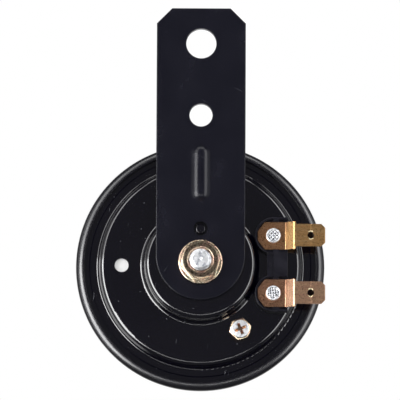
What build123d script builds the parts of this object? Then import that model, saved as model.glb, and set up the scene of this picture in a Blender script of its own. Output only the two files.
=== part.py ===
from build123d import *
from math import asin, cos, degrees, radians, sin
import os

os.makedirs("parts", exist_ok=True)

# An electric disc horn hung on its flat steel bracket. Millimetres, +Z up.
#
# The horn's axis runs along Y: bracket, stud and terminals are at the rear, -Y, and the sound
# leaves at the front, +Y. The origin is the centre of the bracket's upper hole, on the
# bracket's rear face.
#
# The horn itself is drawn in its own frame, HORN: X is the same, Y is up, Z is the horn's axis
# and rises to the rear. Its zero is the housing's face that clamps the diaphragm.

# Bracket: a sheet steel strip with one round end
BRACKET_WIDTH = 25.0
BRACKET_SHEET = 2.0
BRACKET_TOP_MARGIN = 10.05
BRACKET_CORNER_CUT = 4.3
BRACKET_END_RISE = 2.0
BRACKET_EDGE_ROUND = 0.3
UPPER_HOLE_RADIUS = 4.25
LOWER_HOLE_RADIUS = 3.25
HOLE_PITCH = 20.35
STUD_DROP = 61.9
RIB_WIDTH = 5.2
RIB_RISE = 1.2
RIB_LENGTH = 15.8
RIB_CENTRE_DROP = 36.7

# Key that stops the bracket turning: a pip on the hub in a hole of the bracket
PIP_RISE = 9.5
PIP_RADIUS = 1.5
PIP_HEIGHT = 1.3
PIP_ROUND = 0.5
PIP_BORE_RADIUS = 0.9
PIP_HOLE_RADIUS = 2.0

# Housing: one deep drawn pressing, given by its rear face and sized from its rim inwards
HORN_RADIUS = 35.0
HOUSING_SHEET = 1.0
FLANGE_WIDTH = 6.2
STEP_DRAFT = 0.9
STEP_HEIGHT = 3.0
STEP_TOP_BEND = 1.3
STEP_FOOT_BEND = 0.6
ANNULUS_WIDTH = 11.7
HUB_DRAFT = 0.9
HUB_HEIGHT = 6.0
HUB_TOP_BEND = 1.3
HUB_FOOT_BEND = 1.0
LAND_WIDTH = 4.0
LAND_DEPTH = 0.25
VENT_HUB_DISTANCE = 5.9
VENT_RADIUS = 1.95
MEMBRANE_RADIUS = 3.2
MEMBRANE_SHEET = 0.3

# Front cover: a pressing whose rim is curled over the housing's flange
COVER_SHEET = 1.0
RIM_LIP = 2.4
RIM_BEND = 1.4
COVER_FLANGE_WIDTH = 4.4
COVER_WALL_DRAFT = 2.4
COVER_DEPTH = 7.4
COVER_DOME = 2.5
COVER_DOME_FLAT = 9.0
COVER_FOOT_BEND = 0.6
COVER_FACE_BEND = 2.4
COVER_DOME_BEND = 6.0
SLOT_COUNT = 18
SLOT_WIDTH = 2.4
SLOT_INNER_RADIUS = 13.0
SLOT_EDGE_WIDTH = 4.2

# Diaphragm and its gaskets
GASKET_SHEET = 0.4
GASKET_WIDTH = 2.6
DIAPHRAGM_SHEET = 0.3
CORRUGATION_INSET = 8.6
CORRUGATION_HALF_WIDTH = 1.5
CORRUGATION_HEIGHT = 0.8
CORRUGATION_BEND = 0.4

# Fixed core, coil and their insulation
STUD_RADIUS = 3.0
STUD_SHOW = 1.3
STUD_CHAMFER = 0.7
CORE_LENGTH = 5.4
COIL_WASHER_SHEET = 0.4
BOBBIN_WALL = 1.0
BOBBIN_FLANGE_SHEET = 0.9
BOBBIN_HUB_GAP = 0.7
BOBBIN_SETBACK = 0.2
COIL_DEPTH_BELOW_FLANGE = 0.9
WOUND_RATIO = 1.79  # the wound coil's diameter over its tube's
WIRE_RADIUS = 0.35
WIRE_RISE = 2.0
WIRE_NOTCH_DEPTH = 1.0
RETAINER_SHEET = 0.4
RETAINER_WIDTH = 4.5
RETAINER_HUB_GAP = 0.3
RETAINER_OPENING = 64.0

# Armature and tone disc, which beat together on the diaphragm
AIR_GAP = 0.65
PLUNGER_INSET = 0.4
COLLAR_WIDTH = 2.5
CENTRE_STUD_RADIUS = 2.5
CENTRE_STUD_SHOW = 0.8
SPACER_RADIUS = 6.0
SPACER_LENGTH = 2.5
TONE_DISC_SHEET = 1.0
TONE_DISC_COVER_GAP = 3.7
TONE_DISC_SEAT_RADIUS = 8.0
TONE_DISC_RIM_WIDTH = 4.5
TONE_DISC_DISH = 2.0
TONE_DISC_BEND = 1.5
LOCK_WASHER_RADIUS = 4.5
LOCK_WASHER_SHEET = 0.8
CENTRE_NUT_WIDTH = 8.0
CENTRE_NUT_HEIGHT = 2.7

# Flange nut on the stud
NUT_WIDTH = 10.0
NUT_HEIGHT = 6.0
NUT_FLANGE_RADIUS = 6.2
NUT_FLANGE_EDGE = 0.9
NUT_FLANGE_CONE = 0.8
NUT_CHAMFER = 0.65
NUT_TURN = 44.0

# Terminals: two brass blades riveted on a moulded block
TERMINAL_PITCH = 16.2
BLOCK_FLOOR = 2.6
BLOCK_WALL_RISE = 1.4
BLOCK_WALL = 0.55
BLOCK_EDGE_ROUND = 0.2
BLOCK_LOBE_RADIUS = 5.2
BLOCK_HUB_GAP = 0.6
BLOCK_EDGE_REACH = 4.05
BLOCK_NECK_REACH = 1.75
NECK_SINK = 0.5
NECK_SINK_WIDTH = 1.8
NECK_NUB_RADIUS = 0.5
NECK_NUB_HEIGHT = 0.35
STOP_LENGTH = 1.6
STOP_REACH = 0.8
SPIGOT_RADIUS = 2.6
BLADE_SHEET = 0.8
BLADE_WIDTH = 6.3
BLADE_LENGTH = 8.2
BLADE_TIP_CUT = 1.1
BLADE_TIP_BEVEL = 0.25
BLADE_ROOT_WIDTH = 7.7
BLADE_ROOT_REACH = 4.35
BLADE_ROOT_NOSE = 2.6
BLADE_ROOT_CUT = 1.9
BLADE_BEND_REACH = 3.4
BLADE_BEND_RUN = 2.4
BLADE_SHOULDER_REACH = 0.5
BLADE_JOGGLE = 2.0
BLADE_BEND = 0.4
BLADE_HOLE_INSET = 4.05
BLADE_HOLE_RADIUS = 0.95
RIVET_RADIUS = 1.5
RIVET_HEAD_RADIUS = 2.08
RIVET_HEAD_HEIGHT = 1.1
RIVET_HEAD_ROUND = 0.35
RIVET_TAIL_RADIUS = 2.4
RIVET_TAIL_HEIGHT = 0.5

# Contact breaker, stacked on the lower rivet inside the housing
INSULATOR_SHEET = 0.5
INSULATOR_WALL_GAP = 0.4
INSULATOR_NECK = 5.0
LUG_SHEET = 0.4
LUG_RADIUS = 2.8
LUG_TAIL_WIDTH = 3.0
LUG_TAIL_LAP = 0.7
LEAF_SHEET = 0.25
LEAF_WIDTH = 6.0
LEAF_TIP_LAP = 1.3
LEAF_LIFT_GAP = 0.2
LEAF_EAR_RADIUS = 1.2
LEAD_TURN = 12.0
SPACER_INSULATOR_SHEET = 1.0
SPACER_INSULATOR_INSET = 0.5
INSULATING_GAP = 0.5
ARM_SHEET = 0.6
ARM_ROOT_RADIUS = 3.2
ARM_TIP_RADIUS = 2.7
CONTACT_COLLAR_DISTANCE = 4.4
MOVING_CONTACT_RADIUS = 1.4
FIXED_CONTACT_RADIUS = 1.7

# Adjusting screw, which sets where the contact arm stands
SCREW_HUB_DISTANCE = 5.16
SCREW_BEARING = -58.1
SCREW_RADIUS = 1.5
SCREW_WIDTH = 5.5
SCREW_HEAD_GAP = 0.8
SCREW_HEX_HEIGHT = 2.3
SCREW_CROWN_RADIUS = 2.5
SCREW_CROWN_HEIGHT = 0.5
SCREW_CROWN_ROUND = 0.3
SCREW_HEX_CHAMFER = 0.3
SCREW_TURN = -15.0
RECESS_WIDTH = 0.8
RECESS_LENGTH = 3.2
RECESS_DEPTH = 1.3
SCREW_COLLAR_WALL = 0.8
SCREW_COLLAR_DEPTH = 1.0

# Radial clearances
RUNNING_FIT = 0.05
CLOSE_FIT = 0.1
LOOSE_FIT = 0.2
END_GAP = 0.05

# Levels along the horn's axis, from the clamped face of the housing's flange
FLANGE_REAR = HOUSING_SHEET
LAND_REAR = FLANGE_REAR - LAND_DEPTH
ANNULUS_FRONT = STEP_HEIGHT
ANNULUS_REAR = ANNULUS_FRONT + HOUSING_SHEET
HUB_FRONT = ANNULUS_FRONT + HUB_HEIGHT
HUB_REAR = HUB_FRONT + HOUSING_SHEET
BRACKET_REAR = HUB_REAR + BRACKET_SHEET
STUD_END = BRACKET_REAR + NUT_HEIGHT + STUD_SHOW
DIAPHRAGM_REAR = -GASKET_SHEET
DIAPHRAGM_FRONT = DIAPHRAGM_REAR - DIAPHRAGM_SHEET
COVER_SEAT = DIAPHRAGM_FRONT - GASKET_SHEET
COVER_FLANGE_FRONT = COVER_SEAT - COVER_SHEET
COVER_EDGE_FRONT = COVER_FLANGE_FRONT - COVER_DEPTH
COVER_FRONT = COVER_EDGE_FRONT - COVER_DOME
RIM_REAR = LAND_REAR + COVER_SHEET
CORE_FACE = HUB_FRONT - CORE_LENGTH
BOBBIN_REAR = HUB_FRONT - COIL_WASHER_SHEET
BOBBIN_FRONT = CORE_FACE - BOBBIN_SETBACK
PLUNGER_REAR = CORE_FACE - AIR_GAP
SPACER_FRONT = DIAPHRAGM_FRONT - SPACER_LENGTH
TONE_DISC_FRONT = SPACER_FRONT - TONE_DISC_SHEET
LOCK_WASHER_FRONT = TONE_DISC_FRONT - LOCK_WASHER_SHEET
CENTRE_NUT_FRONT = LOCK_WASHER_FRONT - CENTRE_NUT_HEIGHT
CENTRE_STUD_END = CENTRE_NUT_FRONT - CENTRE_STUD_SHOW
BLOCK_REAR = ANNULUS_REAR + BLOCK_FLOOR
BLADE_ROOT_REAR = BLOCK_REAR + BLADE_SHEET
RIVET_END = BLADE_ROOT_REAR + RIVET_HEAD_HEIGHT
INSULATOR_FRONT = ANNULUS_FRONT - INSULATOR_SHEET
LUG_FRONT = INSULATOR_FRONT - LUG_SHEET
LEAF_FRONT = INSULATOR_FRONT - LEAF_SHEET
COLLAR_REAR = LEAF_FRONT - LEAF_LIFT_GAP
ARM_REAR = LEAF_FRONT - SPACER_INSULATOR_SHEET
ARM_FRONT = ARM_REAR - ARM_SHEET
CONTACT_MEETING = (LEAF_FRONT + ARM_REAR) / 2
SCREW_HEAD_FRONT = ANNULUS_REAR + SCREW_HEAD_GAP
SCREW_TIP = ARM_REAR + END_GAP

# Radii and places that follow from the sizes above
CLAMP_RADIUS = HORN_RADIUS - RIM_BEND
LAND_RADIUS = HORN_RADIUS - LAND_WIDTH
STEP_FOOT_RADIUS = HORN_RADIUS - FLANGE_WIDTH
STEP_TOP_RADIUS = STEP_FOOT_RADIUS - STEP_DRAFT
HUB_FOOT_RADIUS = STEP_TOP_RADIUS - ANNULUS_WIDTH
HUB_TOP_RADIUS = HUB_FOOT_RADIUS - HUB_DRAFT
COVER_WALL_RADIUS = HORN_RADIUS - COVER_FLANGE_WIDTH
COVER_FACE_RADIUS = COVER_WALL_RADIUS - COVER_WALL_DRAFT
SLOT_OUTER_RADIUS = COVER_FACE_RADIUS - SLOT_EDGE_WIDTH
GASKET_INNER_RADIUS = CLAMP_RADIUS - GASKET_WIDTH
CORRUGATION_RADIUS = CLAMP_RADIUS - CORRUGATION_INSET
TONE_DISC_RADIUS = COVER_FACE_RADIUS - TONE_DISC_COVER_GAP
TONE_DISC_CONE_RADIUS = TONE_DISC_RADIUS - TONE_DISC_RIM_WIDTH
BOBBIN_FLANGE_RADIUS = HUB_TOP_RADIUS - HOUSING_SHEET - BOBBIN_HUB_GAP
COIL_RADIUS = BOBBIN_FLANGE_RADIUS - COIL_DEPTH_BELOW_FLANGE
RETAINER_OUTER_RADIUS = HUB_TOP_RADIUS - RETAINER_HUB_GAP
RETAINER_INNER_RADIUS = RETAINER_OUTER_RADIUS - RETAINER_WIDTH
STUD_HOLE_RADIUS = STUD_RADIUS + CLOSE_FIT
TUBE_RADIUS = COIL_RADIUS / WOUND_RATIO
BOBBIN_BORE_RADIUS = TUBE_RADIUS - BOBBIN_WALL
CORE_RADIUS = BOBBIN_BORE_RADIUS - LOOSE_FIT
PLUNGER_RADIUS = CORE_RADIUS - PLUNGER_INSET
COLLAR_RADIUS = PLUNGER_RADIUS + COLLAR_WIDTH
LEAF_TIP_RADIUS = COLLAR_RADIUS - LEAF_TIP_LAP
RIVET_HOLE_RADIUS = RIVET_RADIUS + CLOSE_FIT
WIRE_PLACE_RADIUS = COIL_RADIUS + WIRE_RADIUS
RIVET_DISTANCE = HUB_FOOT_RADIUS + BLOCK_HUB_GAP + BLOCK_LOBE_RADIUS
RIVET_BEARING = degrees(asin(TERMINAL_PITCH / 2 / RIVET_DISTANCE))
TERMINAL_X = RIVET_DISTANCE * cos(radians(RIVET_BEARING))
UPPER_RIVET = (TERMINAL_X, TERMINAL_PITCH / 2)
LOWER_RIVET = (TERMINAL_X, -TERMINAL_PITCH / 2)
BLOCK_EDGE_X = TERMINAL_X + BLOCK_EDGE_REACH
BLOCK_NECK_X = TERMINAL_X - BLOCK_NECK_REACH
BLADE_ROOT_X = TERMINAL_X - BLADE_ROOT_REACH
BLADE_BEND_X = TERMINAL_X + BLADE_BEND_REACH
BLADE_SHOULDER_X = BLADE_BEND_X + BLADE_BEND_RUN + BLADE_SHOULDER_REACH
BLADE_TIP_X = BLADE_SHOULDER_X + BLADE_LENGTH
BLADE_HOLE_X = BLADE_TIP_X - BLADE_HOLE_INSET
INSULATOR_RADIUS = STEP_TOP_RADIUS - HOUSING_SHEET - INSULATOR_WALL_GAP - RIVET_DISTANCE
SPACER_INSULATOR_RADIUS = INSULATOR_RADIUS - SPACER_INSULATOR_INSET
CONTACT_DISTANCE = COLLAR_RADIUS + CONTACT_COLLAR_DISTANCE

HORN = Plane(origin=(0, BRACKET_REAR, -STUD_DROP), x_dir=(1, 0, 0), z_dir=(0, -1, 0))


def at_bearing(distance, bearing):
    """A place in the horn's frame, by its distance from the axis and its bearing from +X."""
    return (distance * cos(radians(bearing)), distance * sin(radians(bearing)))


VENT_PLACE = at_bearing(HUB_FOOT_RADIUS + VENT_HUB_DISTANCE, 180)
SCREW_PLACE = at_bearing(HUB_FOOT_RADIUS + SCREW_HUB_DISTANCE, SCREW_BEARING)
CONTACT_PLACE = at_bearing(CONTACT_DISTANCE, -RIVET_BEARING)
LEAD_END_PLACE = at_bearing(WIRE_PLACE_RADIUS, LEAD_TURN - RIVET_BEARING)
LEAD_START_PLACE = at_bearing(WIRE_PLACE_RADIUS, RIVET_BEARING)


def disc(radius, low, high, place=(0, 0)):
    """A cylinder along the horn's axis, between two levels."""
    height = high - low
    return Pos(place[0], place[1], low + height / 2) * Cylinder(radius, height)


def ring(inner_radius, outer_radius, low, high, place=(0, 0)):
    """A plain washer between two levels."""
    return disc(outer_radius, low, high, place) - disc(inner_radius, low, high, place)


def plate(outline, low, high):
    """A flat outline given thickness between two levels."""
    return extrude(Pos(0, 0, low) * outline, high - low)


def sheet_section(points, bends, sheet):
    """Section of pressed sheet: one face's rounded line, thickened on its right hand side."""
    corners = [Vector(*point) for point in points]
    runs = [(stop - start).normalized() for start, stop in zip(corners, corners[1:])]
    rights = [Vector(run.Y, -run.X) for run in runs]
    far_corners = [corners[0] + rights[0] * sheet]
    far_bends = []
    for corner, before, after, bend in zip(corners[1:], rights, rights[1:], bends):
        far_corners.append(corner + (before + after) * (sheet / (1 + before.dot(after))))
        turns_right = before.cross(after).Z < 0
        far_bends.append(bend - sheet if turns_right else bend + sheet)
    far_corners.append(corners[-1] + rights[-1] * sheet)
    near = FilletPolyline(*corners, radius=bends)
    far = FilletPolyline(*far_corners, radius=far_bends)
    return make_face([near, far, Line(near @ 0, far @ 0), Line(near @ 1, far @ 1)])


def pressing(points, bends, sheet):
    """Round pressing, turned from the section of its sheet. Points are radius and level."""
    return revolve(Plane.XZ * sheet_section(points, bends, sheet), Axis.Z)


def hexagon(width, low, high, turn):
    """A hexagonal prism by its width across flats. The first flat faces the bearing turn."""
    return plate(Rot(0, 0, turn + 30) * RegularPolygon(width / 2, 6, major_radius=False), low, high)


def turned_hexagon(width, low, high, turn, cut):
    """A hexagonal prism whose rear corners are turned to a cone, cut deep at the corners."""
    corner_radius = width / 2 / cos(radians(30))
    blank = chamfer_rear(disc(corner_radius, low, high), cut)
    return hexagon(width, low, high, turn) & blank


def chamfer_rear(part, size):
    """Chamfer the edges of a part's rearmost face."""
    return chamfer(part.faces().sort_by(Axis.Z)[-1].edges(), size)


def round_rear(part, radius):
    """Round the edges of a part's rearmost face."""
    return fillet(part.faces().sort_by(Axis.Z)[-1].edges(), radius)


def capsule(radius, length):
    """A round bar along Y with ball ends, between ball centres."""
    bar = Rot(90, 0, 0) * Cylinder(radius, length)
    return bar + Pos(0, length / 2, 0) * Sphere(radius) + Pos(0, -length / 2, 0) * Sphere(radius)


def bracket():
    """Mounting strip: two holes, a pressed stiffening rib, a key hole and the stud's hole."""
    top = STUD_DROP + BRACKET_TOP_MARGIN
    end = BRACKET_END_RISE
    strip = Pos(0, (top + end) / 2) * Rectangle(BRACKET_WIDTH, top - end)
    strip = chamfer(strip.vertices().group_by(Axis.Y)[-1], BRACKET_CORNER_CUT)
    outline = strip + Pos(0, end) * Circle(BRACKET_WIDTH / 2)
    sheet = plate(outline, HUB_REAR, BRACKET_REAR)
    sheet = round_rear(sheet, BRACKET_EDGE_ROUND)
    sheet -= disc(UPPER_HOLE_RADIUS, HUB_REAR, BRACKET_REAR, (0, STUD_DROP))
    sheet -= disc(LOWER_HOLE_RADIUS, HUB_REAR, BRACKET_REAR, (0, STUD_DROP - HOLE_PITCH))
    sheet -= disc(PIP_HOLE_RADIUS, HUB_REAR, BRACKET_REAR, (0, PIP_RISE))
    sheet -= disc(STUD_RADIUS + LOOSE_FIT, HUB_REAR, BRACKET_REAR)

    # The rib is an arc in section. The sheet keeps its thickness, so the back is a groove.
    rib_radius = ((RIB_WIDTH / 2) ** 2 + RIB_RISE**2) / (2 * RIB_RISE)
    rib_place = Pos(0, STUD_DROP - RIB_CENTRE_DROP, BRACKET_REAR + RIB_RISE - rib_radius)
    straight = RIB_LENGTH - RIB_WIDTH
    ridge = rib_place * capsule(rib_radius, straight)
    groove = rib_place * capsule(rib_radius - BRACKET_SHEET, straight)
    above = plate(outline, BRACKET_REAR - BRACKET_SHEET / 2, BRACKET_REAR + RIB_RISE)
    return sheet + (ridge & above) - groove


def housing():
    """Drawn steel shell: hub for the coil, flat annulus, step down and clamping flange."""
    points = [
        (STUD_HOLE_RADIUS, HUB_REAR),
        (HUB_TOP_RADIUS, HUB_REAR),
        (HUB_FOOT_RADIUS, ANNULUS_REAR),
        (STEP_TOP_RADIUS, ANNULUS_REAR),
        (STEP_FOOT_RADIUS, FLANGE_REAR),
        (CLAMP_RADIUS, FLANGE_REAR),
    ]
    bends = [HUB_TOP_BEND, HUB_FOOT_BEND, STEP_TOP_BEND, STEP_FOOT_BEND]
    shell = pressing(points, bends, HOUSING_SHEET)

    # Coined land under the folded rim, entered by a short ramp.
    ramp = Pos(0, 0, LAND_REAR + LAND_DEPTH / 2)
    ramp *= Cone(LAND_RADIUS + LAND_DEPTH, LAND_RADIUS, LAND_DEPTH)
    shell -= disc(HORN_RADIUS, LAND_REAR, FLANGE_REAR) - ramp

    # Key pip, embossed from inside the hub.
    pip = round_rear(disc(PIP_RADIUS, HUB_FRONT, HUB_REAR + PIP_HEIGHT, (0, PIP_RISE)), PIP_ROUND)
    shell += pip
    shell -= disc(PIP_BORE_RADIUS, HUB_FRONT, HUB_FRONT + PIP_HEIGHT, (0, PIP_RISE))

    # Extruded collar that carries the adjusting screw's thread.
    bore = SCREW_RADIUS + RUNNING_FIT
    collar_front = ANNULUS_FRONT - SCREW_COLLAR_DEPTH
    shell += disc(bore + SCREW_COLLAR_WALL, collar_front, ANNULUS_REAR, SCREW_PLACE)
    shell -= disc(bore, collar_front, ANNULUS_REAR, SCREW_PLACE)

    shell -= disc(VENT_RADIUS, ANNULUS_FRONT, ANNULUS_REAR, VENT_PLACE)
    shell -= disc(SPIGOT_RADIUS + CLOSE_FIT, ANNULUS_FRONT, ANNULUS_REAR, UPPER_RIVET)
    shell -= disc(SPIGOT_RADIUS + CLOSE_FIT, ANNULUS_FRONT, ANNULUS_REAR, LOWER_RIVET)
    return shell


def front_cover():
    """Slotted sound cover. Its rim is folded round the clamped sheets onto the housing."""
    points = [
        (HORN_RADIUS - RIM_LIP, RIM_REAR),
        (HORN_RADIUS, RIM_REAR),
        (HORN_RADIUS, COVER_FLANGE_FRONT),
        (COVER_WALL_RADIUS, COVER_FLANGE_FRONT),
        (COVER_FACE_RADIUS, COVER_EDGE_FRONT),
        (COVER_DOME_FLAT, COVER_FRONT),
        (0, COVER_FRONT),
    ]
    bends = [RIM_BEND, RIM_BEND, COVER_FOOT_BEND, COVER_FACE_BEND, COVER_DOME_BEND]
    cover = pressing(points, bends, COVER_SHEET)
    slot_length = SLOT_OUTER_RADIUS - SLOT_INNER_RADIUS
    slot = SlotOverall(slot_length, SLOT_WIDTH)
    slots = PolarLocations(SLOT_INNER_RADIUS + slot_length / 2, SLOT_COUNT) * slot
    return cover - plate(Sketch() + slots, COVER_FRONT, COVER_EDGE_FRONT + COVER_SHEET)


def vent_membrane():
    """Breather disc stuck inside the housing over its vent hole."""
    return disc(MEMBRANE_RADIUS, ANNULUS_FRONT - MEMBRANE_SHEET, ANNULUS_FRONT, VENT_PLACE)


def rear_gasket():
    """Ring between the housing's flange and the diaphragm."""
    return ring(GASKET_INNER_RADIUS, CLAMP_RADIUS, DIAPHRAGM_REAR, 0)


def front_gasket():
    """Ring between the diaphragm and the front cover's flange."""
    return ring(GASKET_INNER_RADIUS, CLAMP_RADIUS, COVER_SEAT, DIAPHRAGM_FRONT)


def diaphragm():
    """Spring steel sheet, clamped at its rim, with one corrugation so that it can beat."""
    start = CORRUGATION_RADIUS - CORRUGATION_HALF_WIDTH
    stop = CORRUGATION_RADIUS + CORRUGATION_HALF_WIDTH
    crest = DIAPHRAGM_REAR - CORRUGATION_HEIGHT
    points = [
        (CENTRE_STUD_RADIUS + CLOSE_FIT, DIAPHRAGM_REAR),
        (start, DIAPHRAGM_REAR),
        (start + CORRUGATION_HALF_WIDTH / 2, crest),
        (stop - CORRUGATION_HALF_WIDTH / 2, crest),
        (stop, DIAPHRAGM_REAR),
        (CLAMP_RADIUS, DIAPHRAGM_REAR),
    ]
    return pressing(points, [CORRUGATION_BEND] * 4, DIAPHRAGM_SHEET)


def armature():
    """Turned iron slug: the plunger faces the core, and the collar lifts the contact leaf."""
    slug = disc(COLLAR_RADIUS, DIAPHRAGM_REAR, COLLAR_REAR)
    slug += disc(PLUNGER_RADIUS, COLLAR_REAR, PLUNGER_REAR)
    slug += disc(CENTRE_STUD_RADIUS, CENTRE_STUD_END, DIAPHRAGM_REAR)
    return slug


def spacer_washer():
    """Thick washer that holds the tone disc off the diaphragm."""
    return ring(CENTRE_STUD_RADIUS + CLOSE_FIT, SPACER_RADIUS, SPACER_FRONT, DIAPHRAGM_FRONT)


def tone_disc():
    """Dished plate that rings at the horn's high note."""
    points = [
        (CENTRE_STUD_RADIUS + CLOSE_FIT, SPACER_FRONT),
        (TONE_DISC_SEAT_RADIUS, SPACER_FRONT),
        (TONE_DISC_CONE_RADIUS, SPACER_FRONT - TONE_DISC_DISH),
        (TONE_DISC_RADIUS, SPACER_FRONT - TONE_DISC_DISH),
    ]
    return pressing(points, [TONE_DISC_BEND] * 2, TONE_DISC_SHEET)


def lock_washer():
    """Washer under the centre nut."""
    bore = CENTRE_STUD_RADIUS + CLOSE_FIT
    return ring(bore, LOCK_WASHER_RADIUS, LOCK_WASHER_FRONT, TONE_DISC_FRONT)


def centre_nut():
    """Thin nut that clamps tone disc, spacer, diaphragm and armature together."""
    nut = hexagon(CENTRE_NUT_WIDTH, CENTRE_NUT_FRONT, LOCK_WASHER_FRONT, 0)
    return nut - disc(CENTRE_STUD_RADIUS + RUNNING_FIT, CENTRE_NUT_FRONT, LOCK_WASHER_FRONT)


def core_stud():
    """Fixed iron core of the coil. Its threaded end also carries the horn."""
    stud = chamfer_rear(disc(STUD_RADIUS, HUB_FRONT, STUD_END), STUD_CHAMFER)
    return stud + disc(CORE_RADIUS, CORE_FACE, HUB_FRONT)


def coil_washer():
    """Insulating washer between the bobbin and the hub."""
    return ring(CORE_RADIUS + CLOSE_FIT, BOBBIN_FLANGE_RADIUS, BOBBIN_REAR, HUB_FRONT)


def coil_bobbin():
    """Moulded reel. Its front flange is notched where the two leads come out."""
    bore = BOBBIN_BORE_RADIUS
    reel = ring(bore, TUBE_RADIUS, BOBBIN_FRONT, BOBBIN_REAR)
    reel += ring(bore, BOBBIN_FLANGE_RADIUS, BOBBIN_REAR - BOBBIN_FLANGE_SHEET, BOBBIN_REAR)
    reel += ring(bore, BOBBIN_FLANGE_RADIUS, BOBBIN_FRONT, BOBBIN_FRONT + BOBBIN_FLANGE_SHEET)
    reach = WIRE_NOTCH_DEPTH + BOBBIN_FLANGE_RADIUS - COIL_RADIUS
    notch = Rectangle(2 * reach, 2 * (WIRE_RADIUS + LOOSE_FIT))
    notch = Pos(BOBBIN_FLANGE_RADIUS, 0) * notch
    for bearing in (RIVET_BEARING, LEAD_TURN - RIVET_BEARING):
        reel -= Rot(0, 0, bearing) * plate(notch, BOBBIN_FRONT, BOBBIN_FRONT + BOBBIN_FLANGE_SHEET)
    return reel


def coil_winding():
    """The wound wire as one ring between the bobbin's flanges."""
    front = BOBBIN_FRONT + BOBBIN_FLANGE_SHEET
    rear = BOBBIN_REAR - BOBBIN_FLANGE_SHEET
    return ring(TUBE_RADIUS + RUNNING_FIT, COIL_RADIUS, front, rear)


def coil_retainer():
    """Spring ring that holds the bobbin in the hub, open where leads and leaf pass."""
    front = BOBBIN_FRONT - RETAINER_SHEET
    band = Circle(RETAINER_OUTER_RADIUS) - Circle(RETAINER_INNER_RADIUS)
    far = 2 * RETAINER_OUTER_RADIUS
    below = at_bearing(far, -RETAINER_OPENING / 2)
    above = at_bearing(far, RETAINER_OPENING / 2)
    opening = Polygon((0, 0), below, above, align=None)
    return plate(band - opening, front, BOBBIN_FRONT)


def lead(place):
    """Bare end of the coil's wire, running forward from the winding."""
    return disc(WIRE_RADIUS, INSULATOR_FRONT, BOBBIN_FRONT + BOBBIN_FLANGE_SHEET + WIRE_RISE, place)


def coil_lead_start():
    """Wire to the lug on the upper rivet."""
    return lead(LEAD_START_PLACE)


def coil_lead_end():
    """Wire to the moving contact's leaf."""
    return lead(LEAD_END_PLACE)


def lobes(radius, edge_x):
    """Two lobes about the rivets, round towards the axis and square at an edge."""
    reach = edge_x - TERMINAL_X
    straight = Pos(TERMINAL_X + reach / 2, 0) * Rectangle(reach, 2 * radius)
    left_half = Pos(TERMINAL_X - radius / 2, 0) * Rectangle(radius, 2 * radius)
    lobe = straight + (Pos(TERMINAL_X, 0) * Circle(radius) & left_half)
    return Pos(0, UPPER_RIVET[1]) * lobe + Pos(0, LOWER_RIVET[1]) * lobe


def terminal_block():
    """Moulded block: a walled pocket for each blade's root, and a spigot for each rivet."""
    neck_width = BLOCK_EDGE_X - BLOCK_NECK_X
    neck = Pos(BLOCK_NECK_X + neck_width / 2, 0) * Rectangle(neck_width, TERMINAL_PITCH)
    outline = lobes(BLOCK_LOBE_RADIUS, BLOCK_EDGE_X) + neck
    pockets = lobes(BLOCK_LOBE_RADIUS - BLOCK_WALL, BLOCK_EDGE_X + BLOCK_WALL)
    wall_rear = BLOCK_REAR + BLOCK_WALL_RISE
    block = plate(outline, ANNULUS_REAR, wall_rear)
    block = round_rear(block, BLOCK_EDGE_ROUND)
    block -= plate(pockets, BLOCK_REAR, wall_rear)

    # The neck is sunk beside the hub, with a moulding nub in the sunk part.
    sink = Pos(BLOCK_NECK_X + NECK_SINK_WIDTH / 2, 0)
    sink_length = TERMINAL_PITCH - 2 * BLOCK_LOBE_RADIUS
    sunk_rear = wall_rear - NECK_SINK
    block -= plate(sink * Rectangle(NECK_SINK_WIDTH, sink_length), sunk_rear, wall_rear)
    nub_place = (BLOCK_NECK_X + NECK_SINK_WIDTH / 2, 0)
    block += disc(NECK_NUB_RADIUS, BLOCK_REAR, sunk_rear + NECK_NUB_HEIGHT, nub_place)

    # Each pocket's walls have a stop on both sides that keeps the blade's root straight.
    gap = BLOCK_LOBE_RADIUS - BLADE_ROOT_WIDTH / 2 - RUNNING_FIT
    stop = Rectangle(STOP_LENGTH, gap)
    for place in (UPPER_RIVET, LOWER_RIVET):
        for side in (-1, 1):
            y = place[1] + side * (BLOCK_LOBE_RADIUS - gap / 2)
            block += plate(Pos(place[0] + STOP_REACH, y) * stop, BLOCK_REAR, wall_rear)
        block += disc(SPIGOT_RADIUS, ANNULUS_FRONT, ANNULUS_REAR, place)
        block -= disc(RIVET_HOLE_RADIUS, ANNULUS_FRONT, BLOCK_REAR, place)
    return block


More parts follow.
